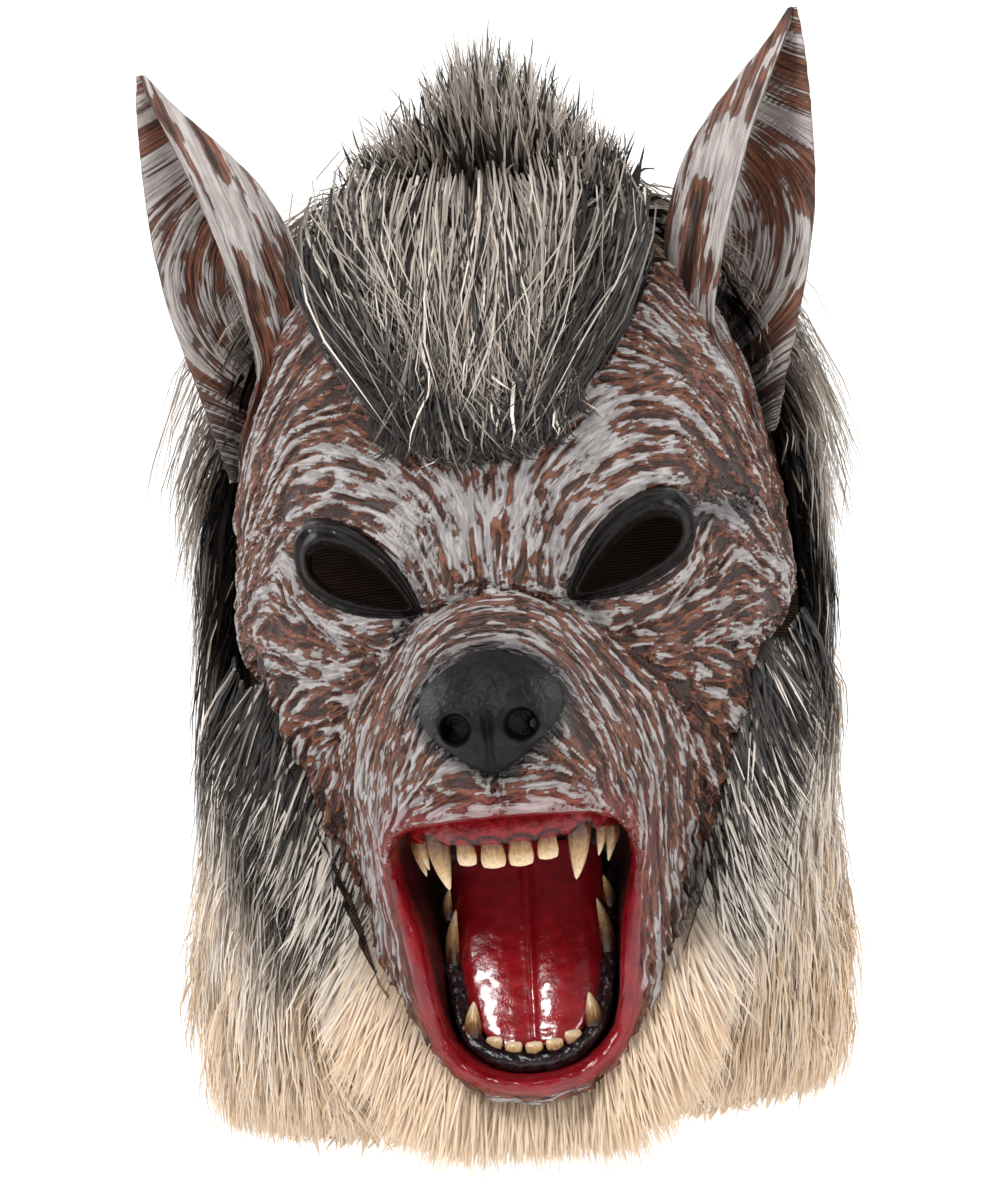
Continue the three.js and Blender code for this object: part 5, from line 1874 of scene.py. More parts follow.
            dark.append(np.exp(-(((round_neck - 1) / 0.26) ** 2)) * (front > 0))
        points = np.stack(rings, axis=1)
        flat = points.reshape(-1, 3)
        skin = Skin(flat, grid_faces(count, sides, True), {"deep": np.stack(dark, axis=1).ravel()})
        outward = faced_out(skin, np.repeat(line, sides, axis=0))
        bumps = value_noise(flat, 2.6, 62) + 0.6 * value_noise(flat, 1.4, 63)
        skin.points = flat + outward * (0.42 * bumps)[:, None]
        return skin

    def _tongue(self) -> Skin:
        """The wet tongue with its groove."""
        rows, sides = 110, 96
        table = np.array(self.tongue_slices)
        knots = np.linspace(0, 1, len(table))
        tip = np.array([[0.655, 0.925, 0.04, 0.08]])
        table, knots = np.concatenate([table, tip]), np.concatenate([knots, [1.07]])
        read = spline(table, np.linspace(0, 1.07, rows), knots)
        read[:, 2:] = np.maximum(read[:, 2:], 0.02)
        middle = self.place(np.stack([0 * read[:, 0], read[:, 0], read[:, 1]], axis=1))
        run = unit(np.gradient(middle, axis=0))
        rise = np.stack([0 * run[:, 0], -np.abs(run[:, 2]), -run[:, 1] * np.sign(run[:, 2])], axis=1)
        profile = np.array(self.tongue_profile)
        loop = np.concatenate([profile, profile[:1]]) * [self.tongue_width / 2, self.tongue_thick]
        closed = round_curve(loop, sides + 1)[:-1]
        points = middle[:, None, :] + closed[None, :, :1] * read[:, None, 2:3] * np.array([1.0, 0, 0])
        points = points + rise[:, None, :] * (closed[None, :, 1:] * read[:, None, 3:4])
        flat = points.reshape(-1, 3)
        skin = Skin(flat, grid_faces(rows, sides, True))
        outward = faced_out(skin, np.repeat(middle, sides, axis=0))
        bumps = value_noise(flat, 3.2, 64) + 0.7 * value_noise(flat, 1.7, 65)
        skin.points = flat + outward * (0.14 * bumps)[:, None]
        return skin

    def _teeth(self, jaw: Jaw) -> tuple[Skin, list[str]]:
        """One jaw's teeth.

        Args:
            jaw: which jaw.
        Returns:
            Their skin and the CAD nodes that they stand for.
        """
        upper = jaw is Jaw.UPPER
        count = 801
        line = self.arch(jaw, count)
        run = np.gradient(line, axis=0)
        run[:, 2] = 0
        run = unit(run)
        skin, nodes = None, []
        for tooth in UPPER_TEETH if upper else LOWER_TEETH:
            for side, hand in ((-1, "left"), (1, "right")) if tooth.place else ((1, ""),):
                at = round((0.5 + side * tooth.place / 2) * (count - 1))
                made = self._tooth(tooth, line[at], run[at], -1 if upper else 1)
                skin = made if skin is None else skin.joined(made)
                nodes.append("_".join(part for part in (jaw.value, tooth.name, hand) if part))
        return skin, nodes

    def _tooth(self, tooth: Tooth, foot: Array, run: Array, way: int) -> Skin:
        """One tooth.

        Args:
            tooth: which tooth.
            foot: where it stands.
            run: the way along the jaw there.
            way: -1 when it points down.
        Returns:
            Its skin.
        """
        rows, sides = 26, 26
        kind = tooth.kind
        table = np.array(kind.rings)
        along = np.linspace(table[0, 0], 1, rows)
        wide, deep = spline(table[:, 1:], along, table[:, 0]).T * self.tooth_width / 2 * tooth.wide
        end = np.sqrt(np.clip(1 - ((along - 0.93) / 0.075).clip(0) ** 2, 0.01, 1))
        inward = np.array([-run[1], run[0], 0.0])
        inward *= np.sign(inward[1]) if abs(inward[1]) > 0.2 else -np.sign(inward[0] * foot[0])
        length = kind.length * tooth.long
        middle = foot + along[:, None] * length * np.array([0, 0, way])
        middle = middle + inward * (kind.curl * length * np.maximum(along, 0) ** 2)[:, None]
        turn = np.linspace(0, 2 * math.pi, sides, endpoint=False)
        ridge = 1 + 0.03 * np.cos(5 * turn + 9 * tooth.place)
        out = np.cos(turn) * ridge
        thick = np.sin(turn) * ridge
        points = middle[:, None] + run * (out[None, :, None] * (wide * end)[:, None, None])
        points = points + inward * (thick[None, :, None] * (deep * end)[:, None, None])
        skin = rings_skin(points)
        faced_out(skin, np.repeat(middle[[*range(rows), -1]], sides, axis=0))
        along_all = np.repeat(np.concatenate([along, [1.0]]), sides)
        skin.carried = {"along": np.clip(along_all, 0, 1)}
        return skin


# Hood and fur

BACKINGS = ("crown_backing", "hood_backing_left", "hood_backing_right")

# Hair stays out of this outline round an ear in the front view, in millimetres across and up
EAR_ROOM = ((70, -34), (73, -62), (97, -106), (110, -98), (121, -62), (134, -15), (134, 62), (92, 40),
            (80, 8))


# Hair doesn't grow on an ear's root: its middle across and the room each side, its lowest height, and its
# middle front to back and the room each way
EAR_ROOT = (92, 17, -98, -25, 27)


@dataclass
class EdgeMap:
    """Distance from the face's edge over the front view, kept on a grid."""

    head: Head
    step: float = 2.0
    face_back: float = -13.0
    cheeks: float = -188.0
    brow: float = -108.0
    brow_half: float = 72.0
    inside: float = -9.0

    def __post_init__(self) -> None:
        """Fills the grid."""
        x = np.arange(-170, 172, self.step)
        z = np.arange(-420, 112, self.step)
        grid = np.stack(np.meshgrid(x, z, indexing="ij"), axis=-1)
        outline = self.head.outline(FACE_EDGE, self.head.half_width, self.head.face, 0)
        self.table = from_outline(grid.reshape(-1, 2), outline).reshape(grid.shape[:2])
        self.slope = np.stack(np.gradient(self.table, self.step), axis=-1)
        self.low = np.array([x[0], z[0]])

    def read(self, points: Array) -> tuple[Array, Array]:
        """Reads the distance, positive outside the face.

        Args:
            points: places in rows of three.
        Returns:
            Distances and the way outwards in the front view.
        """
        size = np.array(self.table.shape)
        place = np.clip((points[:, [0, 2]] - self.low) / self.step, 0, size - 1.001)
        i, j = place.astype(int).T
        return read_grid(self.table, *place.T), unit(self.slope[i, j])

    def tucked(self, skin: Skin, room: float) -> Skin:
        """Cuts a skin along the face's edge and moves its border onto it.

        Args:
            skin: the skin.
            room: how far off the edge its border stays.
        Returns:
            The smaller skin.
        """
        gap, way = self.read(skin.points)
        behind_face = skin.points[:, 1] > self.face_back
        gap = np.where(behind_face, np.maximum(gap, room), gap)
        low = skin.points[:, 2] < self.cheeks
        crown = (skin.points[:, 2] > self.brow) & (np.abs(skin.points[:, 0]) < self.brow_half) & (gap > 0.5)
        kept = np.where(low | crown | behind_face, gap, -math.inf) > self.inside
        short = np.where(kept, np.maximum(room - gap, 0), 0)
        points = skin.points.copy()
        points[:, 0] += way[:, 0] * short
        points[:, 2] += way[:, 1] * short
        behind = 11.0 + 8.0 * ease(-points[:, 2], 290, 320)
        points[:, 1] += behind * low * kept * (1 - ease(np.maximum(gap, room), 0, 18))
        faces = skin.faces[kept[skin.faces].all(axis=1)]
        return Skin(points, faces, skin.carried, skin.bake)


@dataclass
class Hood:
    """The knitted hood under the fur, open over the face and below; its last points are the outer ones."""

    map: HeadMap
    edge: EdgeMap
    low: float = 1.2
    high: float = 3.6
    turns: int = 120
    drops: int = 76
    outer: int = 2000

    def build(self) -> list[bpy.types.Object]:
        """Makes the hood.

        Returns:
            Its pieces.
        """
        head = self.map.head
        drop = np.linspace(0.5, head.hood, self.drops)
        rows = [(d, self.low) for d in drop] + [(d, self.high) for d in drop[::-1]]
        turn = np.linspace(-180, 180, self.turns, endpoint=False)
        rings = []
        for level, height in rows:
            points, outward = self.map.read(turn, np.full(self.turns, level))
            rings.append(points + outward * height)
        skin = Skin(np.concatenate(rings), grid_faces(len(rows), self.turns, True))
        skin = self.edge.tucked(skin, 0.6)
        outward = point_normals(skin.points, skin.faces)
        away = skin.points - np.array([0, head.axis_y, -head.dome])
        if (outward[-self.outer:] * away[-self.outer:]).sum() < 0:
            skin.faces = skin.faces[:, ::-1]
        material = KnitFinish().material("hood knit")
        return [skin.piece("hood_dressed", material, "hood_fabric", *BACKINGS)]


class Region(Enum):
    """Which of the three furs a strand belongs to."""

    CROWN = "crown_fur"
    MANE = "mane_fur"
    THROAT = "throat_fur"


# Each fur's band by how far its roots lie below the crown
REGION_BANDS = ((Region.CROWN, -60, 101), (Region.MANE, 101, 267), (Region.THROAT, 267, 500))

# By millimetres below the crown: the hair's tone, the dark hair's width by the face, and the fringe's tone
TONES = ((-10, 0.43), (100, 0.43), (150, 0.54), (200, 0.67), (245, 0.72), (285, 0.84), (340, 0.93))
DARK_WIDTHS = ((0, 30), (90, 25), (200, 12), (280, 5))
FRINGE_TONES = ((150, 0.1), (262, 0.16), (290, 0.84), (340, 0.93))

LOCK_TONE, LOCK_PLACES, LOCK_COMB, FELT_BUMPS, FRINGE_PLACES, FRINGE_WIDTHS = 68, 69, 70, 74, 75, 76


@dataclass(frozen=True)
class Hairs:
    """How many hairs a layer has and how wide, long and dark they are."""

    count: int
    width: float
    length: tuple[float, float]
    level: tuple[float, float]
    tone_shift: float
    seed: int


@dataclass
class Comb:
    """How a layer's hairs lie: roots, their locks' turns, side swing, length, rise and stray lift."""

    turns: Array
    drops: Array
    lock_turns: Array
    swing: Array
    length: Array
    rise: Array
    stray: Array


@dataclass
class Strands:
    """Combed hairs: middles and sideways directions by knot, locks, what an ear hides and root tones."""

    middles: Array
    sides: Array
    lock: Array
    bald: Array
    begin: Array


@dataclass
class Fur:
    """Long hair in locks over the hood, combed down from the crown and round the face."""

    map: HeadMap
    edge: EdgeMap
    knots: int = 5
    locks: int = 2600
    lean: float = 5.5
    lift_off: float = 3.8
    pile: float = 26.0
    shortest: float = 8.0
    hem: float = 366.0
    fringe: int = 10800
    short_front: float = 11.0
    drift: float = 7.0
    lock_turn: float = 2.0
    lock_drop: float = 3.0
    radius: float = 105.0
    lowest: float = 418.0
    tuft_place: tuple[float, float] = (7.0, -12.0)
    tuft_size: tuple[float, float] = (62.0, 52.0)
    tuft_low: float = 13.0
    tuft_rise: float = 27.0
    layers: tuple[Hairs, ...] = (
        Hairs(8400, 3.5, (34, 52), (0.1, 0.5), -1.0, 71),
        Hairs(30500, 1.2, (34, 62), (0.35, 0.9), 0.0, 72),
        Hairs(24300, 0.82, (40, 74), (0.7, 1.05), 0.06, 73),
    )
    pile_rows: tuple[tuple[float, float, float, float], ...] = (
        (0, 1.2, 1.5, 1.1), (0.12, 0.95, 1.35, 0.9), (0.3, 0.4, 0.6, 0.9), (0.45, 0.5, 0.55, 0.9),
        (0.62, 0.6, 0.75, 0.95), (0.82, 0.8, 1.15, 1.05), (1.1, 0.9, 1.1, 1.0),
    )

    def __post_init__(self) -> None:
        """Spreads the locks and works out the nearest lock to each place, on a coarse grid."""
        self.lock_places = np.stack(self._roots(self.locks, np.random.default_rng(LOCK_PLACES)), axis=1)
        turn = np.arange(-180, 180, self.lock_turn)
        drop = np.arange(0, 356, self.lock_drop)
        grid = np.stack(np.meshgrid(turn, drop, indexing="ij"), axis=-1).reshape(-1, 2)
        nearest = np.zeros(len(grid), int)
        for start in range(0, len(grid), 2000):
            part = grid[start: start + 2000]
            across = ((part[:, None, 0] - self.lock_places[None, :, 0] + 180) % 360 - 180) * 1.8
            down = part[:, None, 1] - self.lock_places[None, :, 1]
            nearest[start: start + 2000] = np.argmin(across**2 + down**2, axis=1)
        self.lock_grid = nearest.reshape(len(turn), len(drop))

    def _pile(self, turns: Array, drops: Array) -> Array:
        """How deep the fur is at places on the head."""
        table = np.array(self.pile_rows)
        share = np.clip(drops / self.map.head.face, 0, 1.1)
        front, side, back = (np.interp(share, table[:, 0], table[:, k]) for k in (1, 2, 3))
        across = np.cos(np.radians(turns)) ** 2
        ahead = np.abs(turns) < 90
        return self.pile * (side * (1 - across) + np.where(ahead, front, back) * across)

    def _roots(self, count: int, draw: np.random.Generator) -> tuple[Array, Array]:
        """Picks places for hairs, thicker where the photograph looks.

        Args:
            count: how many.
            draw: the source of chance.
        Returns:
            Turns and drops.
        """
        head = self.map.head
        turns, drops = np.zeros(0), np.zeros(0)
        while len(turns) < count:
            turn = draw.uniform(-180, 180, 4 * count)
            drop = head.hood * draw.uniform(0, 1, 4 * count)
            points, _ = self.map.read(turn, drop)
            round_it = np.clip(np.hypot(points[:, 0], points[:, 1] - head.axis_y) / self.radius, 0.04, 1.3)
            ahead = 0.42 + 0.58 * ease(-points[:, 1], -70, -10)
            gap, _ = self.edge.read(points)
            clear = (gap > 0.8) | (points[:, 1] > -14)
            across, aside, lowest, along, about = EAR_ROOT
            beside = np.abs(np.abs(points[:, 0]) - across) < aside
            ear = beside & (points[:, 2] > lowest) & (np.abs(points[:, 1] - along) < about)
            take = clear & ~ear & (draw.uniform(0, 1.3, len(turn)) < round_it * ahead)
            turns = np.concatenate([turns, turn[take]])
            drops = np.concatenate([drops, drop[take]])
        return turns[:count], drops[:count]

    def _paths(self, turns: Array, drops: Array, layer: Hairs, draw: np.random.Generator) -> Strands:
        """Bends hairs over the head.

        Args:
            turns: their roots, round the head.
            drops: their roots, down the head.
            layer: the layer that they belong to.
            draw: the source of chance.
        Returns:
            The hairs.
        """
        count = len(turns)
        lock = self._lock_of(turns, drops)
        lock_draw = np.random.default_rng(LOCK_COMB)
        swing = lock_draw.normal(0, 3.2, self.locks)[lock] + draw.normal(0, 3.0, count)
        length = draw.uniform(*layer.length, count) * lock_draw.uniform(0.82, 1.18, self.locks)[lock]
        level = draw.uniform(*layer.level, count) * lock_draw.uniform(0.75, 1.15, self.locks)[lock]
        stray = 1.5 * np.abs(draw.normal(0, 1, count))
        heavy = 1 - np.sign(turns) * 0.14 * ease(drops, 180, 260)
        rise = level * heavy * self._pile(turns, drops)
        comb = Comb(turns, drops, self.lock_places[lock, 0], swing, length, rise, stray)
        edge_gap, _ = self.edge.read(self.map.read(turns, drops)[0])
        dark = (edge_gap < draw.uniform(14, 30, count)) | (drops > 115)
        overlap = np.where(dark, np.abs(draw.normal(0, 2.2, count)), -draw.uniform(13, 36, count))
        fine = np.linspace(0, 1, 11)
        shares = np.ones(count)
        points, _ = self._curve(comb, fine)
        barred, in_ear = self._barred(points, overlap, draw)
        bald = in_ear[:, :4].any(axis=1)
        hit = barred[:, 1:].any(axis=1)
        shares[hit] = fine[np.argmax(barred[hit][:, 1:], axis=1)]
        shares = np.maximum(shares, self.shortest / length)
        comb.length = length * shares
        comb.rise = rise * np.sqrt(shares)
        middles, outward = self._curve(comb, np.linspace(0, 1, self.knots))
        self._stand_tuft(middles, drops, draw)
        begin = 0.55 * (1 - ease(drops, 50, 120))
        run = unit(np.gradient(middles, axis=1))
        flat = unit(np.cross(run, outward))
        twist = draw.uniform(-1.0, 1.0, count)[:, None, None]
        sides = flat * np.cos(twist) + np.cross(run, flat) * np.sin(twist)
        return Strands(middles, sides, lock, bald, begin)

    def _curve(self, comb: "Comb", shares: Array) -> tuple[Array, Array]:
        """Places along hairs.

        Args:
            comb: the hairs.
            shares: how far along.
        Returns:
            Points and outward directions, by hair and share.
        """
        head = self.map.head
        radius = np.maximum(self.radius * np.clip(comb.drops / head.dome, 0.3, 1), 30)
        gather = ((comb.lock_turns - comb.turns + 180) % 360 - 180) * (comb.drops > 40)
        lean = math.tan(math.radians(self.lean)) * ease(comb.drops, 60, 160)
        aside = np.abs(comb.turns)
        forward = np.sign(comb.turns) * 32 * ease(aside, 10, 50) * (1 - ease(aside, 95, 125))
        forward = forward * (1 - ease(comb.drops, 80, 110))
        crown = (1 - ease(comb.drops, 75, 125)) * (1 - ease(aside, 75, 110))
        points, ways = [], []
        for s in shares:
            turn = comb.turns + 0.55 * s**1.3 * gather + np.degrees(comb.swing * s**1.5 / radius)
            turn = turn - forward * s + np.degrees(1.5 * s * np.sin(5.5 * s + 3 * comb.stray) / radius)
            drop = comb.drops + comb.length * s * 0.94
            place, outward = self.map.read(turn, np.minimum(drop, self.lowest))
            level = np.maximum(math.sin(min(s * 2.0, 1.25)), 0.8 * crown) * (1 - 0.72 * crown * s**1.3)
            height = self.lift_off + comb.rise * level + comb.stray * s
            place = place + outward * height[:, None]
            place[:, 0] -= lean * comb.length * s**1.4 + self.drift * ease(-place[:, 2], 150, 300)
            points.append(place)
            ways.append(outward)
        return np.stack(points, axis=1), np.stack(ways, axis=1)

    def _barred(self, points: Array, overlap: Array, draw: np.random.Generator) -> tuple[Array, Array]:
        """Whether places on hairs cover the face or an ear, or hang past the hem.

        Args:
            points: places by hair and share.
            overlap: how far each hair may cover the face's edge.
            draw: the source of chance.
        Returns:
            Whether each place is barred, and whether an ear bars it.
        """
        flat = points.reshape(-1, 3)
        gap, _ = self.edge.read(flat)
        reach = np.repeat(overlap, points.shape[1])
        left_lock = 7.0 * (flat[:, 0] < 0) * ease(-flat[:, 2], 90, 130)
        reach = reach + left_lock * (1 - ease(-flat[:, 2], 270, 300))
        face = (gap < -reach) & (flat[:, 1] < -16)
        beside = from_outline(np.stack([np.abs(flat[:, 0]), flat[:, 2]], axis=1), np.array(EAR_ROOM))
        ear = (beside < 0) & (flat[:, 1] < 8)
        hem = np.repeat(self.hem + draw.normal(0, 3.0, len(points)), points.shape[1])
        past = flat[:, 2] < -hem + self.short_front * (1 - ease(flat[:, 1], -90, 40))
        return (face | ear | past).reshape(points.shape[:2]), ear.reshape(points.shape[:2])

    def _stand_tuft(self, middles: Array, drops: Array, draw: np.random.Generator) -> None:
        """Lifts the short hair on the crown.

        Args:
            middles: the hairs, changed in place.
            drops: their roots, down the head.
            draw: the source of chance.
        """
        roots = middles[:, 0]
        count = len(roots)
        from_middle = (roots[:, 0] - self.tuft_place[0]) / self.tuft_size[0]
        ahead = -(roots[:, 1] - self.tuft_place[1]) / self.tuft_size[1]
        gap = np.hypot(from_middle, ahead)
        stands = (1 - ease(gap, 0.6, 1.1)) * (drops < 90)
        lean = 1.7 * ease(ahead, 0.2, 0.9) * draw.uniform(0.5, 1.2, count)
        aside = draw.normal(0, 0.2, count) + 0.3 * from_middle
        way = unit(np.stack([aside, draw.normal(-0.1, 0.18, count) - lean, np.ones(count)], axis=1))
        peak = np.exp(-((from_middle / 0.34) ** 2))
        tall = draw.uniform(0.7, 1.0, count) * (self.tuft_low + self.tuft_rise * peak)
        share = np.linspace(0, 1, self.knots)[None, :, None]
        upright = roots[:, None] + way[:, None] * (tall[:, None, None] * share)
        upright = upright + draw.normal(0, 2.4, (count, 1, 3)) * share**2
        middles += (upright - middles) * (stands > draw.uniform(0.1, 0.6, count))[:, None, None]

    def _lock_of(self, turns: Array, drops: Array) -> Array:
        """Finds the nearest lock to each hair."""
        i = ((turns + 180) / self.lock_turn).astype(int) % self.lock_grid.shape[0]
        j = np.clip((drops / self.lock_drop).astype(int), 0, self.lock_grid.shape[1] - 1)
        return self.lock_grid[i, j]

    def _tones(self, turns: Array, drops: Array, lock: Array, layer: Hairs,
               draw: np.random.Generator) -> Array:
        """Colours hairs by where they grow.

        Args:
            turns: their roots, round the head.
            drops: their roots, down the head.
            lock: each one's lock.
            layer: the layer that they belong to.
            draw: the source of chance.
        Returns:
            One tone per hair.
        """
        points, _ = self.map.read(turns, drops)
        gap, _ = self.edge.read(points)
        count = len(turns)
        lock_tone = np.random.default_rng(LOCK_TONE).normal(0, 0.06, self.locks)[lock]
        down = -points[:, 2]
        tone = np.interp(down, *np.array(TONES).T)
        tone = np.where(points[:, 1] > 20, np.minimum(tone, 0.6), tone)
        near = np.where(points[:, 1] < -14, gap, np.where(down < 200, 2.2 * (points[:, 1] + 14), 40))
        dark_width = np.interp(down, *np.array(DARK_WIDTHS).T)
        edge_dark = np.exp(-((np.maximum(near, 0) / dark_width) ** 2))
        edge_dark *= 1 - ease(down, 250, 280)
        tone = tone * (1 - 0.8 * edge_dark)
        tone += lock_tone + draw.normal(0, 0.07, count) + layer.tone_shift * 0.5
        stray = draw.uniform(0, 1, count) < 0.07
        tone = np.where(stray, 0.68, tone)
        parting = 0.22 + 0.55 * np.exp(-(((points[:, 0] - 14) / 34) ** 2))
        pale = np.maximum(parting, 0.85 * (1 - ease(down, 5, 45)))
        black = (down < 112) & (points[:, 1] < 5) & (draw.uniform(0, 1, count) > pale)
        tone = np.where(black, draw.uniform(0.04, 0.2, count), tone)
        if layer.tone_shift < -0.5:
            light = np.maximum(0.78 * ease(down, 268, 295), 0.54 * ease(down, 180, 225) * (1 - edge_dark))
            tone = draw.uniform(0.03, 0.15, count) + light
        return np.clip(tone, 0.02, 0.98)

    def _ribbons(self, middles: Array, sides: Array, width: Array, tone: Array, begin: Array) -> Skin:
        """Skins hairs as narrow tapered ribbons.

        Args:
            middles: points by hair and knot.
            sides: sideways directions by hair and knot.
            width: each hair's width.
            tone: each hair's tone.
            begin: where each one starts on the way from root colour to tip colour.
        Returns:
            Their skin.
        """
        count, knots = middles.shape[:2]
        share = np.linspace(0, 1, knots)
        taper = (0.75 + 0.5 * share) * (1 - share**2.2) + 0.05
        reach = sides * (width[:, None] * taper[None, :] / 2)[:, :, None]
        points = np.stack([middles - reach, middles + reach], axis=2).reshape(-1, 3)
        quads = np.array([[2 * k, 2 * k + 1, 2 * k + 3, 2 * k + 2] for k in range(knots - 1)])
        faces = (np.arange(count)[:, None, None] * 2 * knots + quads[None]).reshape(-1, 4)
        along = begin[:, None] + (1 - begin[:, None]) * np.repeat(share, 2)[None]
        bake = np.stack([tone[:, None].repeat(2 * knots, 1), along], axis=-1)
        bake = 0.01 + 0.98 * bake.reshape(-1, 2)
        return Skin(points, faces, {}, bake)

    def _fringe(self) -> tuple[Array, Array, Array]:
        """Short hair that comes out from under the edge of the face, from the cheeks round the chin.

        Returns:
            Middles by hair and knot, sideways directions and tones.
        """
        head = self.map.head
        draw = np.random.default_rng(FRINGE_PLACES)
        count = int(self.fringe * (1.0))
        right = np.array([(a * head.half_width, -d * head.face) for a, d in FACE_EDGE if d > 0.53])
        line = round_curve(right, 400)
        run = np.gradient(line, axis=0)
        outward = unit(np.stack([-run[:, 1], run[:, 0]], axis=1))
        outward *= np.sign(outward[:1, 0])
        at = draw.integers(0, len(line), count)
        hand = np.where(draw.uniform(0, 1, count) < 0.5, -1.0, 1.0)
        chin = ease(-line[at, 1], 296, 325)
        off = draw.uniform(-5.0, 5.5, count) - 5.5 * chin
        flat = line[at] + outward[at] * off[:, None]
        clamped = line[at] - outward[at] * 3.5
        y = head.front_of(clamped[:, 0], clamped[:, 1]) + 2.6 - 4.4 * chin + 0.8 * np.maximum(off, 0)
        root = np.stack([hand * flat[:, 0], y, flat[:, 1]], axis=1)
        way = np.stack([hand * outward[at, 0] * 0.36 - 0.1, draw.normal(-0.05, 0.15, count),
                        outward[at, 1] * 0.3 - 0.7], axis=1)
        way = unit(way + draw.normal(0, 0.13, (count, 3)))
        long = draw.uniform(18, 38, count)
        room = root[:, 2] + self.hem - self.short_front + draw.normal(0, 3, count)
        long = np.minimum(long, room.clip(6) / 0.9)
        share = np.linspace(0, 1, self.knots)[None, :, None]
        middles = root[:, None] + way[:, None] * long[:, None, None] * share
        middles[:, :, 1] -= 3.5 * np.sin(share[:, :, 0] * 2.6)
        middles[:, :, 2] -= 4.0 * share[:, :, 0] ** 2
        side = unit(np.cross(way, np.array([0.0, -1.0, 0.0])))
        down = -root[:, 2]
        tone = np.interp(down, *np.array(FRINGE_TONES).T) + draw.normal(0, 0.06, count)
        fair = draw.uniform(0, 1, count) < 0.16 + 0.4 * ease(down, 200, 240)
        tone = np.where(fair, 0.6 + 0.22 * ease(down, 230, 300), tone)
        return middles, side[:, None].repeat(self.knots, 1), np.clip(tone, 0.02, 0.98)

    def _under(self) -> Skin:
        """The dark felt that the hairs grow out of."""
        turn = np.linspace(-180, 180, 120, endpoint=False)
        drop = np.linspace(0.5, self.map.head.hood + 2, 80)
        rings = []
        for level in drop:
            points, outward = self.map.read(turn, np.full(len(turn), level))
            rings.append(points + outward * (self.lift_off + 1.6))
        points = np.concatenate(rings)
        points = points + 0.7 * value_noise(points, 4.0, FELT_BUMPS)[:, None]
        gap, _ = self.edge.read(points)
        light = np.maximum(0.8 * ease(-points[:, 2], 268, 300),
                           0.5 * ease(-points[:, 2], 190, 230) * ease(gap, 16, 30))
        bake = np.stack([0.08 + light, np.full(len(points), 0.3)], axis=1)
        return self.edge.tucked(Skin(points, grid_faces(len(drop), len(turn), True), {}, bake), 1.0)

    def build(self) -> list[bpy.types.Object]:
        """Makes the fur.

        Returns:
            Its pieces.
        """
        material = HairFinish().material("long hair")
        parts: dict[Region, list[Skin]] = {region: [] for region in Region}
        behind: dict[Region, list[Skin]] = {region: [] for region in Region}
        share = 1.0
        for layer in self.layers:
            draw = np.random.default_rng(layer.seed)
            turns, drops = self._roots(int(layer.count * share), draw)
            hair = self._paths(turns, drops, layer, draw)
            tone = self._tones(turns, drops, hair.lock, layer, draw)
            width = layer.width * draw.uniform(0.7, 1.3, len(turns)) / (share**0.5)
            root = hair.middles[:, 0]
            for region, low, high in REGION_BANDS:
                here = (-root[:, 2] >= low) & (-root[:, 2] < high) & ~hair.bald
                ahead = root[:, 1] < 0
                for pick, store in ((here & ahead, parts), (here & ~ahead, behind)):
                    if pick.any():
                        chosen = (hair.middles, hair.sides, width, tone, hair.begin)
                        store[region].append(self._ribbons(*(part[pick] for part in chosen)))
        middles, across, tone = self._fringe()
        width = np.random.default_rng(FRINGE_WIDTHS).uniform(0.6, 1.3, len(tone)) / (share**0.5)
        parts[Region.THROAT].append(self._ribbons(middles, across, width, tone, 0.3 + 0 * tone))
        parts[Region.MANE].append(self._under())
        made = []
        for region in Region:
            slot = "tan_fur" if region is Region.THROAT else "grey_fur"
            made.append(self._merge(parts[region]).piece(f"{region.value}_front", material, slot,
                                                         region.value))
            made.append(self._merge(behind[region]).piece(f"{region.value}_back", material, slot))
        return made

    def _merge(self, skins: list[Skin]) -> Skin:
        """Puts skins together."""
        whole = skins[0]
        for skin in skins[1:]:
            whole = whole.joined(skin)
        return whole


# Studio


@dataclass(frozen=True)
class Softbox:
    """One soft light: where it stands, what it looks at, its size and power."""

    place: tuple[float, float, float]
    size: float
    power: float


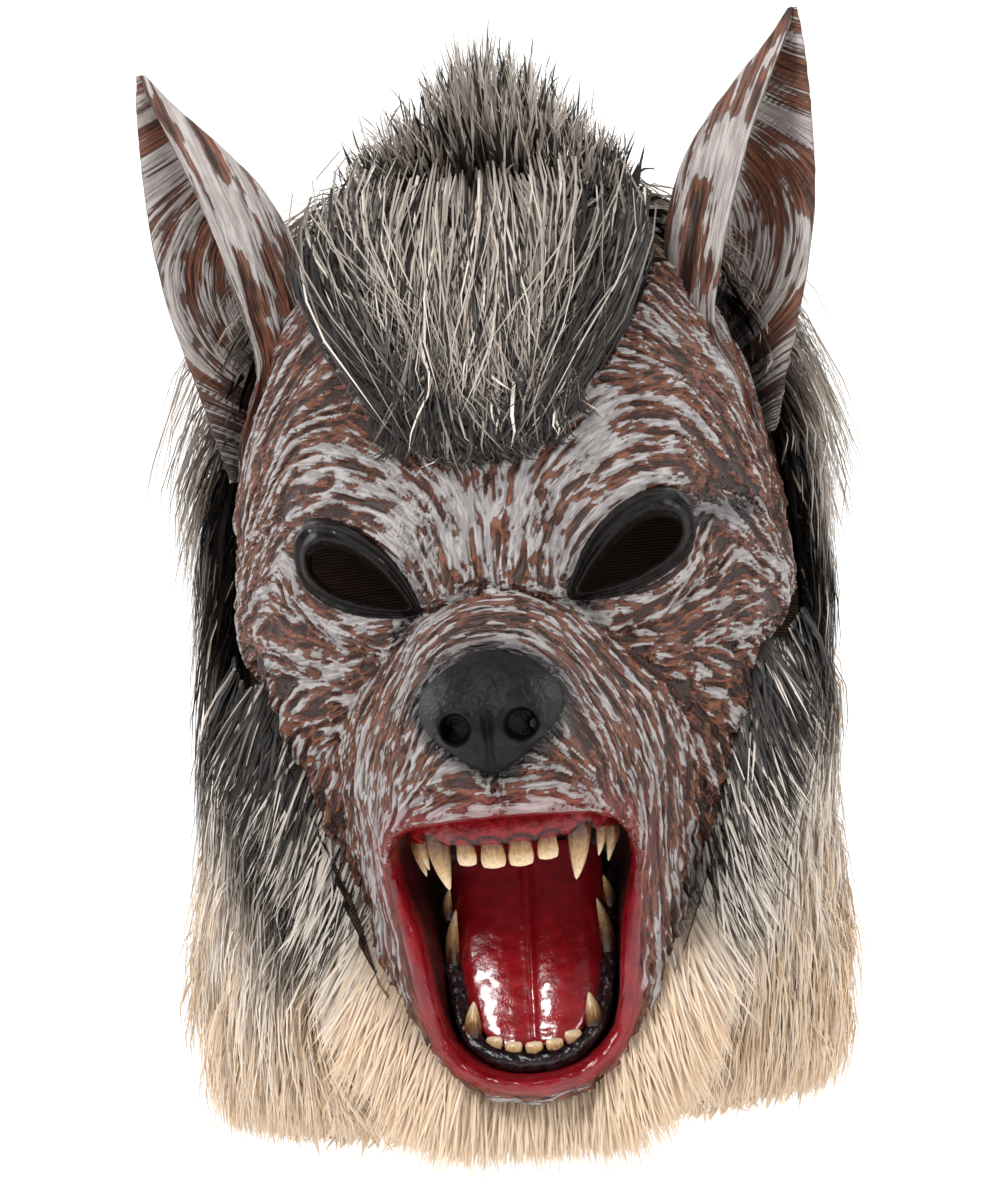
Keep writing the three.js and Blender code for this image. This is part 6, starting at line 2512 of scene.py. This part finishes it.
@dataclass(frozen=True)
class Studio:
    """The photograph's view, a pale floor with a curved backdrop, and soft lights."""

    azimuth: float = 5.0
    elevation: float = 2.0
    roll: float = 5.5
    distance: float = 1.5
    target: tuple[float, float, float] = (0.0012, -0.105, -0.1557)
    lens: float = 121.62
    sensor: float = 36.0
    floor: float = -0.42
    white: Colour = (0.9, 0.9, 0.9)
    glow: float = 0.5
    lights: tuple[Softbox, ...] = (
        Softbox((-0.7, -1.4, 1.0), 0.6, 21),
        Softbox((1.2, -1.3, 0.5), 0.7, 10),
        Softbox((0.0, -0.5, 1.5), 0.9, 12),
        Softbox((-1.3, 0.6, 0.4), 0.8, 6),
        Softbox((1.3, 0.6, 0.4), 0.8, 6),
    )

    def build(self) -> None:
        """Sets up the camera, the backdrop and the lights."""
        self._camera()
        self._backdrop()
        for number, light in enumerate(self.lights):
            self._light(number, light)
        world = bpy.data.worlds.new("pale room")
        world.use_nodes = True
        surface = world.node_tree.nodes["Background"]
        surface.inputs["Color"].default_value = (1, 1, 1, 1)
        surface.inputs["Strength"].default_value = 0.24
        bpy.context.scene.world = world
        bpy.context.scene.view_settings.view_transform = "Standard"

    def _aim(self, place: Array, target: Array, roll: float) -> Matrix:
        """A turn and place that look from one point at another.

        Args:
            place: where it stands.
            target: what it looks at.
            roll: its turn about the line of sight, in degrees.
        Returns:
            The matrix.
        """
        back = unit(place - target)
        right = unit(np.cross([0, 0, 1], back))
        up = np.cross(back, right)
        c, s = math.cos(math.radians(roll)), math.sin(math.radians(roll))
        rows = np.stack([right * c - up * s, right * s + up * c, back, place], axis=1)
        return Matrix([*rows.tolist(), [0, 0, 0, 1]])

    def _camera(self) -> None:
        """Puts the camera where the photograph was taken from."""
        az, el = math.radians(self.azimuth), math.radians(self.elevation)
        back = np.array([math.sin(az) * math.cos(el), -math.cos(az) * math.cos(el), math.sin(el)])
        target = np.array(self.target)
        camera = bpy.data.cameras.new("camera")
        camera.lens = self.lens
        camera.sensor_fit = "VERTICAL"
        camera.sensor_height = self.sensor
        camera.dof.use_dof = False
        made = bpy.data.objects.new("camera", camera)
        made.matrix_world = self._aim(target + back * self.distance, target, self.roll)
        bpy.context.scene.collection.objects.link(made)
        bpy.context.scene.camera = made

    def _light(self, number: int, light: Softbox) -> None:
        """Adds one soft light.

        Args:
            number: its number.
            light: what it is like.
        """
        data = bpy.data.lights.new(f"softbox_{number}", "AREA")
        data.shape = "DISK"
        data.size = light.size
        data.energy = light.power
        made = bpy.data.objects.new(f"softbox_{number}", data)
        made.matrix_world = self._aim(np.array(light.place), np.array(self.target), 0.0)
        bpy.context.scene.collection.objects.link(made)

    def _backdrop(self) -> None:
        """Lays a pale floor that curves up behind the mask."""
        bend = 0.7
        turn = np.linspace(0, math.pi / 2, 24)
        profile = [(-3.0, self.floor)]
        profile += [(1.2 + bend * math.sin(a), self.floor + bend * (1 - math.cos(a))) for a in turn]
        profile.append((1.2 + bend, 3.0))
        points = np.array([(x, y, z) for y, z in profile for x in (-4.0, 4.0)]) / MILLIMETRE
        faces = grid_faces(len(profile), 2, False)
        shader = Shader("pale backdrop")
        fleck = shader.noise(shader.position(), 300.0, 1.0)
        tone = shader.mix(fleck, self.white, tuple(0.99 * part for part in self.white))
        material = shader.finish(base_color=tone, roughness=0.9, emission_color=tone)
        shader.surface.inputs["Emission Strength"].default_value = self.glow
        mesh = bpy.data.meshes.new("backdrop")
        mesh.from_pydata((points * MILLIMETRE).tolist(), [], faces.tolist())
        mesh.materials.append(material)
        for polygon in mesh.polygons:
            polygon.use_smooth = True
        made = bpy.data.objects.new("backdrop", mesh)
        bpy.context.scene.collection.objects.link(made)


def main() -> None:
    """Builds the pieces in order."""
    logging.basicConfig(level=logging.INFO, format="%(message)s")
    log = logging.getLogger("mask")
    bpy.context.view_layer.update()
    head = Head()
    mouth = MouthShape()
    head_map, edge = HeadMap(head), EdgeMap(head)
    face = Face(head, Flow(head), EyeShape(), mouth, Nose(head).outline())
    builders = [
        face,
        Ears(head),
        EyeRims(face),
        Nose(head),
        Mouth(head, mouth),
        Hood(head_map, edge),
        Fur(head_map, edge),
    ]
    for builder in builders:
        for piece in builder.build():
            log.info("%s: %d triangles", piece.name, 2 * len(piece.data.polygons))
    Studio().build()


if __name__ == "__main__":
    main()
